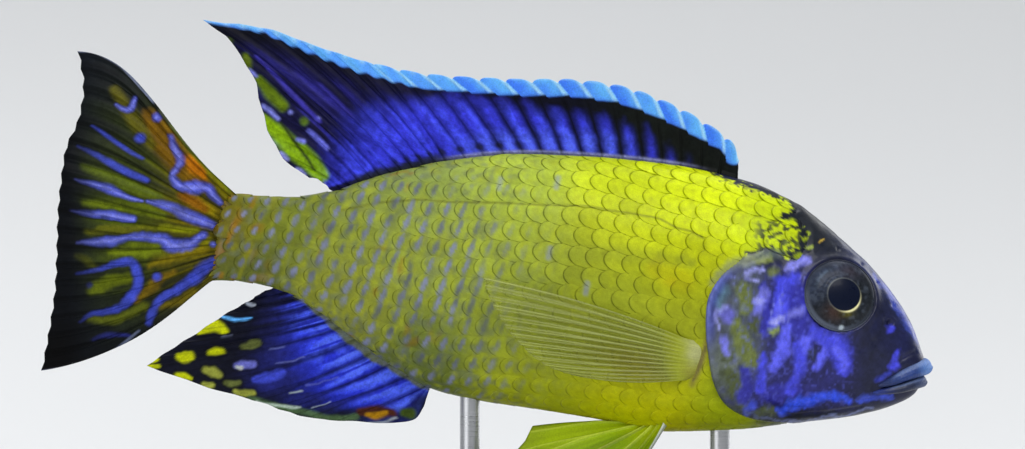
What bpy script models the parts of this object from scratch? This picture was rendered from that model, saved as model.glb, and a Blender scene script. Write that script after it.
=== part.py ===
"""Peacock cichlid, swimming, as a life-size still model on a display stand.

Metres, +Z up. The fish heads towards +X, and its left side faces +Y. The origin is on the floor, under
the middle of the fish. Tables give millimetres, which MM turns into metres.
"""

import math

import bmesh
import bpy
import numpy as np
from mathutils import Matrix, Vector

MM = 0.001
GAP = 0.3 * MM

# The body in side view: (x, height) along the back and along the belly, and (x, half width) seen from above.
BACK_EDGE = [
    (65.9, 34.3), (65.6, 36.0), (64.9, 38.2), (63.4, 42.0), (60.2, 46.9), (55.9, 51.7), (50.5, 56.5),
    (45.1, 60.5), (38.2, 63.3), (28.3, 65.4), (16.1, 66.7), (3.8, 67.1), (-6.7, 66.0), (-17.5, 63.5),
    (-23.5, 61.6), (-28.7, 60.8), (-33.7, 60.8), (-38.5, 61.2), (-40.6, 60.9),
]
BELLY_EDGE = [
    (65.9, 34.1), (65.2, 32.3), (64.1, 30.8), (61.4, 29.4), (58.0, 28.3), (52.9, 27.3), (45.5, 26.4),
    (38.2, 25.5), (27.2, 25.1), (16.6, 27.0), (8.8, 28.3), (-2.3, 30.0), (-7.7, 31.4), (-14.0, 35.0),
    (-19.0, 38.6), (-23.9, 42.4), (-28.7, 45.4), (-33.7, 47.1), (-38.5, 47.7), (-40.6, 47.6),
]
HALF_WIDTH = [
    (65.9, 0.0), (65.5, 1.5), (64.4, 2.8), (62.0, 4.0), (58.0, 5.4), (53.0, 6.9), (47.0, 8.2),
    (40.0, 9.1), (32.6, 9.5), (22.0, 9.6), (10.0, 9.2), (-2.0, 8.1), (-12.0, 6.5), (-22.0, 4.7),
    (-31.0, 3.3), (-36.0, 2.5), (-39.2, 1.6), (-40.6, 0.9),
]
SNOUT_X = 65.9
NECK_X = 33.0
TAIL_ROOT_X = -40.6
TAIL_ROOT_LEAN = 0.13
HEAD_STATIONS = 22
TRUNK_STATIONS = 24
BODY_SIDES = 32
BACK_FULLNESS = 0.98
BELLY_FULLNESS = 0.90

# The gill cover's free edge and the cheek bone's edge in front of it, in side view, from top to bottom.
GILL_EDGE = [
    (38.8, 57.8), (39.0, 54.5), (38.2, 51.6), (35.0, 48.8), (33.0, 45.4), (32.6, 41.4), (32.9, 37.4),
    (33.7, 32.9), (35.4, 29.6), (38.4, 27.7), (41.8, 26.9),
]
CHEEK_EDGE = [
    (40.6, 52.1), (42.3, 50.2), (41.6, 46.8), (40.2, 40.8), (39.9, 34.4), (41.2, 30.6), (42.2, 28.6),
]
THROAT_POINT = (46.5, 25.6)
NAPE_SLANT = 0.2
THROAT_SLANT = 2.5
GILL_LINE_STEPS = 24
GILL_EDGE_CLEARANCE = 0.02
GILL_COVER_POINTS = slice(2, 10)
GILL_COVER_THICK = 1.2 * MM
GILL_COVER_PROUD = 0.5 * MM
GILL_FRONT_SHARE = 0.25
GILL_POCKET_ABOVE = 0.8 * MM

# The mouth: its slit in side view from the front to the corner, then the hinge line of the lower jaw.
MOUTH_SLIT = [(70.0, 34.4), (66.4, 33.7), (62.8, 32.2), (59.1, 31.4)]
JAW_HINGE = [(57.2, 30.6), (55.4, 29.0), (54.4, 26.6), (54.0, 20.0)]
# Each lip runs from the front of the snout to the mouth's corner; radii are (in front, at the corner).
UPPER_LIP = dict(
    front_x=65.75, corner_x=59.4, heights=[(59.4, 32.2), (62.8, 33.9), (65.75, 35.2)], radii=(1.25, 0.45)
)
LOWER_LIP = dict(
    front_x=65.2, corner_x=58.9, heights=[(58.9, 30.9), (62.4, 31.4), (65.2, 32.45)], radii=(0.95, 0.4)
)
LIP_STEPS = 7
LIP_TAPER = 1.2
LIP_FRONT_INSET = 0.55

EYE_X, EYE_Z = 53.05, 45.7
EYE_RADIUS = 5.1 * MM
EYE_HALF_DEPTH = 3.0 * MM
EYE_PROUD = 1.5 * MM
RIM_RADIUS = 0.45 * MM
RIM_FROM_EYE = 0.34 * MM
NOSTRIL_X, NOSTRIL_Z = 60.3, 41.6
NOSTRIL_RADIUS = 0.75 * MM
NOSTRIL_LIFT = 0.1

TRUNK_END_X = -33.0

# The corners of the plates that part the body lie well outside it.
FAR_UP, FAR_DOWN, FAR_AHEAD, FAR_BEHIND = 80.0, 10.0, 90.0, -60.0
PLATE_HALF_WIDTH = 30.0

# Each fin: its root line and its margin in side view, the spread of its rays along both, and its thicknesses.
DORSAL = dict(
    rays=26,
    root=[(37.7, 63.4), (28.3, 65.4), (16.1, 66.7), (3.8, 67.1), (-6.7, 66.0), (-17.5, 63.5), (-23.6, 61.6)],
    leading=[(37.8, 66.6), (36.6, 69.0), (32.8, 71.7), (28.9, 73.9), (25.0, 75.6), (20.5, 77.1),
             (13.1, 78.1), (3.8, 78.2), (-9.2, 79.0), (-19.0, 81.1), (-26.3, 83.4), (-33.2, 85.8),
             (-42.5, 87.0)],
    trailing=[(-42.5, 87.0), (-39.1, 84.6), (-37.0, 81.6), (-34.9, 78.0), (-33.7, 73.0), (-32.2, 68.8),
              (-29.8, 65.4), (-26.6, 63.3)],
    root_spread=[(0, 0.0), (15, 0.71), (26, 1.0)],
    tip_spread=[(0, 0.0), (15, 0.69), (20, 1.0), (26, 2.0)],
    bow=[(0, 0.0), (14, 0.4), (20, 1.2), (26, 0.6)],
    notch=0.6,
)
ANAL = dict(
    rays=12,
    root=[(-8.6, 31.5), (-14.0, 35.0), (-19.0, 38.6), (-23.9, 42.4), (-28.7, 45.4), (-32.0, 46.8)],
    leading=[(-9.4, 29.0), (-10.8, 27.0), (-13.7, 26.4), (-16.6, 26.4), (-20.0, 26.8), (-23.9, 26.9),
             (-28.8, 27.8), (-34.7, 29.8), (-42.1, 31.9), (-51.1, 35.1)],
    trailing=[(-51.1, 35.1), (-47.4, 37.6), (-43.6, 40.0), (-39.7, 42.6), (-36.1, 44.6), (-34.6, 45.4)],
    root_spread=[(0, 0.0), (12, 1.0)],
    tip_spread=[(0, 0.0), (8, 1.0), (12, 2.0)],
    bow=[(0, -0.3), (8, -0.9), (12, 0.0)],
    notch=0.4,
)
TAIL = dict(
    rays=18,
    root=[(-38.2, 61.4), (-40.3, 58.5), (-41.0, 54.4), (-41.3, 50.4), (-41.4, 47.7)],
    leading=[(-61.4, 82.3), (-60.6, 77.0), (-61.4, 72.0), (-63.1, 68.0), (-63.9, 63.0), (-64.4, 58.0),
             (-64.6, 52.0), (-64.9, 46.5), (-65.7, 40.5), (-66.8, 34.4)],
    trailing=None,
    root_spread=[(0, 0.0), (18, 1.0)],
    tip_spread=[(0, 0.0), (18, 1.0)],
    bow=[(0, 2.2), (6, 0.7), (9, 0.0), (12, -0.7), (18, -2.2)],
    notch=0.5,
)
PECTORAL = dict(
    rays=13,
    root=[(31.7, 38.5), (31.0, 35.8), (30.3, 33.2)],
    leading=[(-0.2, 48.5), (0.6, 45.8), (2.6, 42.2), (5.0, 39.2), (8.6, 36.4), (13.0, 35.0)],
    trailing=None,
    root_spread=[(0, 0.0), (13, 1.0)],
    tip_spread=[(0, 0.0), (13, 1.0)],
    bow=[(0, 0.9), (6, 0.2), (13, -0.5)],
    notch=0.3,
)
PECTORAL_LENGTH = 25.0
PECTORAL_ROWS = 6
PECTORAL_FLARE = 3.0
PECTORAL_FLARE_POWER = 2.2
PECTORAL_ROOT_DIP = 20.0
# The pelvic fins' points are (x, distance from the middle plane, height), outermost spine first.
PELVIC_ROOT = [(27.0, 3.4, 27.0), (25.4, 2.5, 26.6), (23.4, 1.4, 26.2)]
PELVIC_TIPS = [
    (17.6, 10.6, 13.2), (10.3, 12.2, 8.3), (7.6, 10.4, 12.0), (5.6, 8.0, 16.4), (4.8, 5.6, 20.8),
    (7.2, 2.8, 24.6),
]
PELVIC_ROWS = 7
PELVIC_BOW = (0.8, 0.5, 0.6)
PELVIC_NOTCH = 0.05
PELVIC_SINK = 3.0
ROOT_SINK = 1.6

# Thickness in millimetres: (at the root, at the margin), over a ray and over the membrane between two rays.
FIN_RAY_THICK = (1.5, 0.8)
FIN_WEB_THICK = (1.0, 0.5)
PECTORAL_RAY_THICK = (1.7, 0.75)
PECTORAL_WEB_THICK = (1.5, 0.5)
THIN_FROM = 0.9

BASE_CENTRE_X = 15.0
BASE_SIZE = (78.0, 42.0, 5.0)
BASE_CORNER = 10.0
BASE_EDGE = 0.8
ROD_X = (35.0, -2.5)
ROD_RADIUS = 1.5
FOOT_RADIUS = 3.4
FOOT_HEIGHT = 1.6
FOOT_EDGE = 0.3
FILLET = (0.5, 0.8)
ROD_SINK = 3.0

SHARP_EDGE_DEG = 35
YELLOW = (0.60, 0.58, 0.02)
OLIVE = (0.36, 0.34, 0.05)
BLUE = (0.05, 0.06, 0.52)
DARK_EYE = (0.02, 0.02, 0.03)
DARK_WOOD = (0.10, 0.06, 0.035)
STEEL = (0.55, 0.56, 0.58)


def smooth(table, x):
    """The value at x of a smooth curve through the table's points, which never overshoots them."""
    points = sorted(table)
    if x <= points[0][0]:
        return points[0][1]
    if x >= points[-1][0]:
        return points[-1][1]
    xs = [p[0] for p in points]
    ys = [p[1] for p in points]
    steps = [b - a for a, b in zip(xs, xs[1:])]
    slopes = [(d - c) / h for c, d, h in zip(ys, ys[1:], steps)]
    tangents = [slopes[0]]
    for before, after in zip(slopes, slopes[1:]):
        same_way = before * after > 0
        tangents.append(2 * before * after / (before + after) if same_way else 0.0)
    tangents.append(slopes[-1])
    i = max(k for k in range(len(steps)) if xs[k] <= x)
    h = steps[i]
    t = (x - xs[i]) / h
    keep_y = (1 + 2 * t) * (1 - t) ** 2 * ys[i] + t * t * (3 - 2 * t) * ys[i + 1]
    keep_slope = t * (1 - t) ** 2 * h * tangents[i] - t * t * (1 - t) * h * tangents[i + 1]
    return keep_y + keep_slope


def along_line(points, share):
    """The point at this share, 0 to 1, of the length of a smooth line through the points."""
    spots = [Vector(p) for p in points]
    lengths = [0.0]
    for a, b in zip(spots, spots[1:]):
        lengths.append(lengths[-1] + (b - a).length)
    at = min(max(share, 0.0), 1.0) * lengths[-1]
    i = max(k for k in range(len(spots) - 1) if lengths[k] <= at)
    t = (at - lengths[i]) / (lengths[i + 1] - lengths[i])
    before = spots[i - 1] if i > 0 else spots[i] * 2 - spots[i + 1]
    after = spots[i + 2] if i + 2 < len(spots) else spots[i + 1] * 2 - spots[i]
    a, b = spots[i], spots[i + 1]
    tangent_a, tangent_b = (b - before) / 2, (after - a) / 2
    return (
        a * (1 + 2 * t) * (1 - t) ** 2 + b * t * t * (3 - 2 * t)
        + tangent_a * t * (1 - t) ** 2 - tangent_b * t * t * (1 - t)
    )


def between(table, value):
    """Straight-line reading of a short table of (input, output)."""
    return float(np.interp(value, [p[0] for p in table], [p[1] for p in table]))


def signed_power(value, power):
    return math.copysign(abs(value) ** power, value)


def section_sizes(x):
    """Height of the widest level, height above it, height below it and half width of the body at x, in mm."""
    back, belly = smooth(BACK_EDGE, x), smooth(BELLY_EDGE, x)
    level = (back + belly) / 2
    return level, back - level, level - belly, smooth(HALF_WIDTH, x)


def skin_point(x, angle, outward=0.0):
    """The body's skin at station x, in mm. Angle 0 is the back and pi the belly, by way of the +Y side."""
    level, above, below, half = section_sizes(x)
    upper = math.cos(angle) > 0
    fullness = BACK_FULLNESS if upper else BELLY_FULLNESS
    height = (above if upper else below) + outward
    return Vector((
        x,
        (half + outward) * signed_power(math.sin(angle), fullness),
        level + height * signed_power(math.cos(angle), fullness),
    ))


def skin_angle(x, z):
    """The angle at which the skin at station x has height z."""
    level, above, below, _ = section_sizes(x)
    upper = z > level
    share = (z - level) / (above if upper else below)
    fullness = BACK_FULLNESS if upper else BELLY_FULLNESS
    return math.acos(min(1.0, max(-1.0, signed_power(share, 1 / fullness))))


def skin_frame(x, z):
    """The skin's point at (x, z) on the +Y side, in mm, and its outward normal."""
    angle = skin_angle(x, z)
    step = 0.2
    here = skin_point(x, angle)
    forward = skin_point(x + step, skin_angle(x + step, z)) - skin_point(x - step, skin_angle(x - step, z))
    round_it = skin_point(x, angle + 0.02) - skin_point(x, angle - 0.02)
    normal = forward.cross(round_it).normalized()
    if normal.y < 0:
        normal.negate()
    return here, normal


def skin_at(x, z, lift=0.0):
    here, normal = skin_frame(x, z)
    return here + normal * lift


def make_material(name, colour, roughness, metallic=0.0):
    made = bpy.data.materials.new(name)
    made.use_nodes = True
    shader = made.node_tree.nodes["Principled BSDF"]
    shader.inputs["Base Color"].default_value = (*colour, 1.0)
    shader.inputs["Roughness"].default_value = roughness
    shader.inputs["Metallic"].default_value = metallic
    return made


def link_object(name, mesh, collection, material=None):
    made = bpy.data.objects.new(name, mesh)
    collection.objects.link(made)
    if material:
        mesh.materials.clear()
        mesh.materials.append(material)
    return made


def object_from_bmesh(name, shape, collection, material=None):
    mesh = bpy.data.meshes.new(name)
    shape.to_mesh(mesh)
    shape.free()
    return link_object(name, mesh, collection, material)


def as_mesh(source, name, collection, material=None):
    """A new mesh object that holds what source's curve or modifiers make, in source's place. source goes."""
    graph = bpy.context.evaluated_depsgraph_get()
    mesh = bpy.data.meshes.new_from_object(source.evaluated_get(graph))
    mesh.transform(source.matrix_world)
    shape = bmesh.new()
    shape.from_mesh(mesh)
    bmesh.ops.remove_doubles(shape, verts=shape.verts, dist=0.002 * MM)
    bpy.data.meshes.remove(mesh)
    bpy.data.objects.remove(source)
    return object_from_bmesh(name, shape, collection, material)


def boolean(target, operation, operand, solver="EXACT"):
    """Adds a Boolean on an object or on a collection of objects."""
    modifier = target.modifiers.new(operation.title(), "BOOLEAN")
    modifier.operation = operation
    if isinstance(operand, bpy.types.Collection):
        modifier.operand_type = "COLLECTION"
        modifier.collection = operand
    else:
        modifier.object = operand
    modifier.solver = solver


def keep_largest(target):
    """Applies target's modifiers and keeps its largest closed surface."""
    graph = bpy.context.evaluated_depsgraph_get()
    mesh = bpy.data.meshes.new_from_object(target.evaluated_get(graph))
    target.modifiers.clear()
    shape = bmesh.new()
    shape.from_mesh(mesh)
    bpy.data.meshes.remove(mesh)
    left = set(shape.verts)
    surfaces = []
    while left:
        found, edge = set(), [left.pop()]
        while edge:
            vert = edge.pop()
            found.add(vert)
            near = {e.other_vert(vert) for e in vert.link_edges} & left
            left -= near
            edge.extend(near)
        surfaces.append(found)
    biggest = max(surfaces, key=lambda verts: max(v.co.x for v in verts) - min(v.co.x for v in verts))
    loose = [v for found in surfaces if found is not biggest for v in found]
    bmesh.ops.delete(shape, geom=loose, context="VERTS")
    bmesh.ops.triangulate(shape, faces=shape.faces)
    shape.to_mesh(target.data)
    shape.free()
    target.data.update()


def body_stations():
    """The x of each ring of the body, from the snout's tip to the tail root, closer together at the snout."""
    turns = [math.pi / 2 * i / HEAD_STATIONS for i in range(HEAD_STATIONS)]
    head = [SNOUT_X - (SNOUT_X - NECK_X) * (1 - math.cos(turn)) for turn in turns]
    step = (NECK_X - TAIL_ROOT_X) / TRUNK_STATIONS
    return head + [NECK_X - step * i for i in range(TRUNK_STATIONS)] + [TAIL_ROOT_X, TAIL_ROOT_X]


def body_shape(outward=0.0):
    """A sphere whose rings are moved to the body's sections, from the snout's pole to the tail's."""
    stations = body_stations()
    rings = len(stations) - 1
    shape = bmesh.new()
    bmesh.ops.create_uvsphere(shape, u_segments=BODY_SIDES, v_segments=rings, radius=1.0)
    for vert in shape.verts:
        ring = round(math.acos(max(-1.0, min(1.0, vert.co.z))) / math.pi * rings)
        x = stations[ring]
        level, above, below, _ = section_sizes(x)
        if ring in (0, rings):
            spot = Vector((x + (outward if ring == 0 else -outward), 0.0, level))
        else:
            angle = math.atan2(vert.co.x, vert.co.y)
            spot = skin_point(x, angle, outward)
            if ring == rings - 1:
                spot.x -= outward
        reach = max(0.0, (NECK_X - spot.x) / (NECK_X - TAIL_ROOT_X))
        spot.x += TAIL_ROOT_LEAN * (spot.z - level) * reach ** 4
        vert.co = spot * MM
    bmesh.ops.recalc_face_normals(shape, faces=shape.faces)
    return shape


def lip(name, sizes, collection):
    """A tapering roll of flesh that follows the skin from one mouth corner round the snout to the other."""
    half = []
    for i in range(LIP_STEPS + 1):
        turn = math.pi / 2 * i / LIP_STEPS
        x = sizes["corner_x"] + (sizes["front_x"] - sizes["corner_x"]) * math.cos(turn)
        z = smooth(sizes["heights"], x)
        inset = min(1.0, LIP_FRONT_INSET + 0.5 * i / LIP_STEPS)
        y = 0.0 if i == 0 else skin_at(min(x, SNOUT_X - 0.05), z).y * inset
        thick, thin = sizes["radii"]
        radius = thick + (thin - thick) * (i / LIP_STEPS) ** LIP_TAPER
        half.append((x, y, z, radius))
    path = [(x, -y, z, r) for x, y, z, r in reversed(half[1:])] + half
    curve = bpy.data.curves.new(name, "CURVE")
    curve.dimensions = "3D"
    curve.bevel_depth = MM
    curve.bevel_resolution = 2
    curve.use_fill_caps = True
    spline = curve.splines.new("POLY")
    spline.points.add(len(path) - 1)
    for point, (x, y, z, radius) in zip(spline.points, path):
        point.co = (x * MM, y * MM, z * MM, 1.0)
        point.radius = radius
    guide = link_object(name + "_curve", curve, collection)
    return as_mesh(guide, name, collection)


def region(name, outline, collection):
    """A thick plate with this outline in side view, in mm, that reaches past both flanks of the fish."""
    curve = bpy.data.curves.new(name, "CURVE")
    curve.dimensions = "2D"
    curve.fill_mode = "BOTH"
    curve.extrude = PLATE_HALF_WIDTH * MM
    spline = curve.splines.new("POLY")
    spline.points.add(len(outline) - 1)
    spline.use_cyclic_u = True
    for point, (x, z) in zip(spline.points, outline):
        point.co = (x * MM, z * MM, 0.0, 1.0)
    guide = link_object(name + "_outline", curve, collection)
    guide.rotation_euler = (math.pi / 2, 0.0, 0.0)
    bpy.context.view_layer.update()
    made = as_mesh(guide, name, collection)
    hide(made)
    return made


def hide(cutter):
    cutter.hide_render = True
    cutter.display_type = "WIRE"


def shifted(points, distance):
    """A line moved sideways by this distance, to the left of its direction."""
    moved = []
    for i, (x, z) in enumerate(points):
        x0, z0 = points[max(i - 1, 0)]
        x1, z1 = points[min(i + 1, len(points) - 1)]
        length = math.hypot(x1 - x0, z1 - z0)
        moved.append((x - (z1 - z0) / length * distance, z + (x1 - x0) / length * distance))
    return moved


def gill_line():
    """The parting line between head and trunk: over the nape, down the gill cover's edge, to the throat."""
    curve = [tuple(along_line(GILL_EDGE, i / GILL_LINE_STEPS)) for i in range(GILL_LINE_STEPS + 1)]
    above = (GILL_EDGE[0][0] - NAPE_SLANT, FAR_UP)
    below = (THROAT_POINT[0] + THROAT_SLANT, FAR_DOWN)
    return [above] + curve + [THROAT_POINT, below]


def head_region(cutters):
    return region("head_region", gill_line() + [(FAR_AHEAD, FAR_DOWN), (FAR_AHEAD, FAR_UP)], cutters)


def trunk_region(cutters):
    line = shifted(gill_line(), -GAP / MM)
    return region("trunk_region", line + [(TRUNK_END_X, FAR_DOWN), (TRUNK_END_X, FAR_UP)], cutters)


def stalk_region(cutters):
    edge = TRUNK_END_X - GAP / MM
    corners = [(edge, FAR_UP), (edge, FAR_DOWN), (FAR_BEHIND, FAR_DOWN), (FAR_BEHIND, FAR_UP)]
    return region("stalk_region", corners, cutters)


def jaw_region(cutters, grown=0.0):
    line = shifted(MOUTH_SLIT + JAW_HINGE, -grown)
    return region("jaw_region" + ("_grown" if grown else ""), line + [(FAR_AHEAD, FAR_DOWN)], cutters)


def gill_patch(name, collection, side, lift, grown=0.0, thickness=0.0, rows=12, columns=5):
    """A plate that follows the skin from the cheek bone to the gill cover's free edge, on one side."""
    shape = bmesh.new()
    bmesh.ops.create_grid(shape, x_segments=columns, y_segments=rows, size=0.5)
    edge = GILL_EDGE[GILL_COVER_POINTS]
    for vert in shape.verts:
        across, down = vert.co.x + 0.5, 0.5 - vert.co.y
        front, rear = along_line(CHEEK_EDGE, down), along_line(edge, down)
        along = (rear - front).normalized()
        x, z = front.lerp(rear, across) + along * grown * (2 * across - 1)
        z += grown * (1 - 2 * down)
        raised = lift if grown else lift * (GILL_FRONT_SHARE + (1 - GILL_FRONT_SHARE) * across)
        spot = skin_at(x, z, raised)
        vert.co = Vector((spot.x, side * spot.y, spot.z)) * MM
    bmesh.ops.recalc_face_normals(shape, faces=shape.faces)
    if sum(f.normal.y for f in shape.faces) * side < 0:
        bmesh.ops.reverse_faces(shape, faces=shape.faces)
    bmesh.ops.triangulate(shape, faces=shape.faces, quad_method="FIXED")
    made = object_from_bmesh(name, shape, collection)
    shell = made.modifiers.new("Thickness", "SOLIDIFY")
    shell.thickness = thickness
    shell.offset = -1.0
    return made


def eye_matrix(side):
    """Places a disc-like eye, whose axis is local Z, square to the skin at the eye's centre."""
    here, normal = skin_frame(EYE_X, EYE_Z)
    centre = (here * MM) + normal * (EYE_PROUD - EYE_HALF_DEPTH)
    centre.y *= side
    axis = Vector((normal.x, side * normal.y, normal.z))
    return Matrix.Translation(centre) @ axis.to_track_quat("Z", "Y").to_matrix().to_4x4()


def eyeball(name, side, collection, material=None, grown=0.0):
    shape = bmesh.new()
    bmesh.ops.create_uvsphere(shape, u_segments=20, v_segments=12, radius=1.0)
    radius, depth = EYE_RADIUS + grown, EYE_HALF_DEPTH + grown
    shape.transform(eye_matrix(side) @ Matrix.Diagonal((radius, radius, depth, 1.0)))
    return object_from_bmesh(name, shape, collection, material)


def eye_rim(name, side, collection):
    """The ring of skin round the eye."""
    bpy.ops.mesh.primitive_torus_add(
        major_radius=EYE_RADIUS + RIM_FROM_EYE, minor_radius=RIM_RADIUS, major_segments=22, minor_segments=6
    )
    ring = bpy.context.object
    on_skin = Matrix.Translation((0, 0, EYE_HALF_DEPTH - EYE_PROUD))
    ring.data.transform(eye_matrix(side) @ on_skin)
    ring.name = name
    for holder in list(ring.users_collection):
        holder.objects.unlink(ring)
    collection.objects.link(ring)
    return ring


def nostril_pit(name, side, collection):
    shape = bmesh.new()
    bmesh.ops.create_icosphere(shape, subdivisions=2, radius=NOSTRIL_RADIUS)
    spot = skin_at(NOSTRIL_X, NOSTRIL_Z, NOSTRIL_LIFT) * MM
    shape.transform(Matrix.Translation((spot.x, side * spot.y, spot.z)))
    made = object_from_bmesh(name, shape, collection)
    hide(made)
    return made


def mirror_image(left, name):
    """The right-hand copy of a left-hand part."""
    shape = bmesh.new()
    shape.from_mesh(left.data)
    shape.transform(Matrix.Scale(-1.0, 4, Vector((0.0, 1.0, 0.0))))
    bmesh.ops.reverse_faces(shape, faces=shape.faces)
    return object_from_bmesh(name, shape, left.users_collection[0], left.data.materials[0])


def part_of(core, name, where, collection, material):
    """The piece of the whole fish that lies in one region."""
    made = link_object(name, core.data.copy(), collection, material)
    boolean(made, "INTERSECT", where)
    return made


def make_body(fish, cutters, materials):
    """Head, lower jaw, gill covers, trunk and tail stalk, modelled whole and parted by thin cuts."""
    core = object_from_bmesh("whole_body", body_shape(), cutters)
    extras = bpy.data.collections.new("lips_and_eye_rims")
    cutters.children.link(extras)
    lip("upper_lip", UPPER_LIP, extras)
    lip("lower_lip", LOWER_LIP, extras)
    for side, word in ((1, "left"), (-1, "right")):
        eye_rim("eye_rim_" + word, side, extras)
    boolean(core, "UNION", extras)
    keep_largest(core)
    hide(core)
    for piece in list(extras.objects):
        bpy.data.objects.remove(piece)
    deep = GILL_POCKET_ABOVE + GILL_COVER_THICK - GILL_FRONT_SHARE * GILL_COVER_PROUD + GAP
    head = part_of(core, "head", head_region(cutters), fish, materials["head"])
    boolean(head, "DIFFERENCE", jaw_region(cutters, GAP / MM))
    for side, word in ((1, "left"), (-1, "right")):
        socket = eyeball("eye_socket_" + word, side, cutters, grown=GAP)
        hide(socket)
        boolean(head, "DIFFERENCE", socket)
        boolean(head, "DIFFERENCE", nostril_pit("nostril_" + word, side, cutters))
        name = "gill_pocket_" + word
        pocket = gill_patch(name, cutters, side, GILL_POCKET_ABOVE / MM, grown=2 * GAP / MM, thickness=deep)
        hide(pocket)
        boolean(head, "DIFFERENCE", pocket)
    keep_largest(head)
    jaw = part_of(core, "lower_jaw", jaw_region(cutters), fish, materials["head"])
    keep_largest(jaw)
    trunk = part_of(core, "trunk", trunk_region(cutters), fish, materials["trunk"])
    keep_largest(trunk)
    stalk = part_of(core, "tail_stalk", stalk_region(cutters), fish, materials["trunk"])
    keep_largest(stalk)
    cover = gill_patch("gill_cover_left", fish, 1, lift=GILL_COVER_PROUD / MM, thickness=GILL_COVER_THICK)
    cover.data.materials.append(materials["head"])
    boolean(cover, "INTERSECT", gill_cover_region(cutters))
    keep_largest(cover)
    mirror_image(cover, "gill_cover_right")
    mirror_image(eyeball("eye_left", 1, fish, materials["eye"]), "eye_right")


def gill_cover_region(cutters):
    """The head's region without a strip along its parting line, which keeps the gill covers off the trunk."""
    line = shifted(gill_line(), GILL_EDGE_CLEARANCE)
    return region("gill_cover_region", line + [(FAR_AHEAD, FAR_DOWN), (FAR_AHEAD, FAR_UP)], cutters)


def margin_point(fin, share):
    """The margin at share 0 to 1 of its leading line, or 1 to 2 along its trailing line."""
    if share <= 1.0 or fin["trailing"] is None:
        return along_line(fin["leading"], share)
    return along_line(fin["trailing"], share - 1.0)


def flat_ray(fin, ray, along):
    """A fin's point in side view, in mm. ray counts from the front; along is 0 at the root, 1 at the tip."""
    root = along_line(fin["root"], between(fin["root_spread"], ray))
    tip = margin_point(fin, between(fin["tip_spread"], ray))
    direction = tip - root
    sideways = Vector((-direction.y, direction.x)).normalized()
    bow = between(fin["bow"], ray)
    off_ray = abs(ray - round(ray))
    reach = along * (1 - 2 * off_ray * fin["notch"] / max(direction.length, 1.0) * max(0.0, along) ** 2)
    return root + direction * reach - sideways * bow * 4 * reach * (1 - reach) * (reach > 0)


def fin_sheet(name, rays, spot_of, rows, ray_thick, web_thick, collection, material):
    """A fan of rays: an open sheet, a column on each ray and one between each two, made thick by Solidify."""
    columns = 2 * rays
    shape = bmesh.new()
    bmesh.ops.create_grid(shape, x_segments=columns, y_segments=rows, size=0.5)
    thickest, thinnest = ray_thick[0], web_thick[1]
    weights = []
    for vert in shape.verts:
        ray = (vert.co.x + 0.5) * rays
        along = vert.co.y + 0.5
        on_ray = 1 - 2 * abs(ray - round(ray))
        thick = [web + (spine - web) * on_ray for spine, web in zip(ray_thick, web_thick)]
        here = thick[0] + (thick[1] - thick[0]) * min(1.0, along / THIN_FROM)
        weights.append((here - thinnest) / (thickest - thinnest))
        vert.co = spot_of(ray, along) * MM
    bmesh.ops.triangulate(shape, faces=shape.faces, quad_method="FIXED")
    made = object_from_bmesh(name, shape, collection, material)
    group = made.vertex_groups.new(name="thick")
    for index, weight in enumerate(weights):
        group.add([index], max(0.0, min(1.0, weight)), "REPLACE")
    shell = made.modifiers.new("Thickness", "SOLIDIFY")
    shell.thickness = thickest * MM
    shell.offset = 0.0
    shell.vertex_group = group.name
    shell.thickness_vertex_group = thinnest / thickest
    return made


def sunk(along, length, depth=ROOT_SINK):
    """Stretches a ray's parameter so that it starts this deep inside the body."""
    sink = depth / length
    return along * (1 + sink) - sink


def median_fin(name, fin, rows, clearance, collection, material):
    """A fin in the fish's middle plane, rooted on the body."""
    def spot(ray, along):
        root = along_line(fin["root"], between(fin["root_spread"], ray))
        tip = margin_point(fin, between(fin["tip_spread"], ray))
        x, z = flat_ray(fin, ray, sunk(along, max((tip - root).length, 2.0)))
        return Vector((x, 0.0, z))

    made = fin_sheet(name, fin["rays"], spot, rows, FIN_RAY_THICK, FIN_WEB_THICK, collection, material)
    boolean(made, "DIFFERENCE", clearance)
    keep_largest(made)


def pectoral_fin(name, clearance, collection, material):
    """A fan that springs from the left flank behind the gill cover and stands a little off it."""
    def spot(ray, along):
        inside = sunk(along, PECTORAL_LENGTH)
        x, z = flat_ray(PECTORAL, ray, inside)
        stood_off = PECTORAL_FLARE * (1 - (1 - max(inside, 0.0)) ** PECTORAL_FLARE_POWER)
        return skin_at(x, z, stood_off + PECTORAL_ROOT_DIP * min(inside, 0.0))

    thicks = (PECTORAL_RAY_THICK, PECTORAL_WEB_THICK)
    made = fin_sheet(name, PECTORAL["rays"], spot, PECTORAL_ROWS, *thicks, collection, material)
    boolean(made, "DIFFERENCE", clearance)
    keep_largest(made)
    return made


def pelvic_fin(name, clearance, collection, material):
    """The left one of the pair: a spine and five rays that hang from the belly, back and outwards."""
    rays = len(PELVIC_TIPS) - 1

    def spot(ray, along):
        root = along_line(PELVIC_ROOT, ray / rays)
        tip = along_line_at_points(PELVIC_TIPS, ray)
        inside = sunk(along, (tip - root).length, PELVIC_SINK)
        off_ray = abs(ray - round(ray))
        place = root + (tip - root) * inside * (1 - PELVIC_NOTCH * off_ray * max(inside, 0.0) ** 2)
        sag = 4 * max(inside, 0.0) * (1 - inside)
        return place + Vector(PELVIC_BOW) * sag

    made = fin_sheet(name, rays, spot, PELVIC_ROWS, FIN_RAY_THICK, FIN_WEB_THICK, collection, material)
    # The exact solver can leave nothing of this fan.
    boolean(made, "DIFFERENCE", clearance, solver="MANIFOLD")
    keep_largest(made)
    return made


def along_line_at_points(points, index):
    """The point at a whole or part index of a line, as straight runs between its points."""
    low = min(int(index), len(points) - 2)
    return Vector(points[low]).lerp(Vector(points[low + 1]), index - low)


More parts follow.
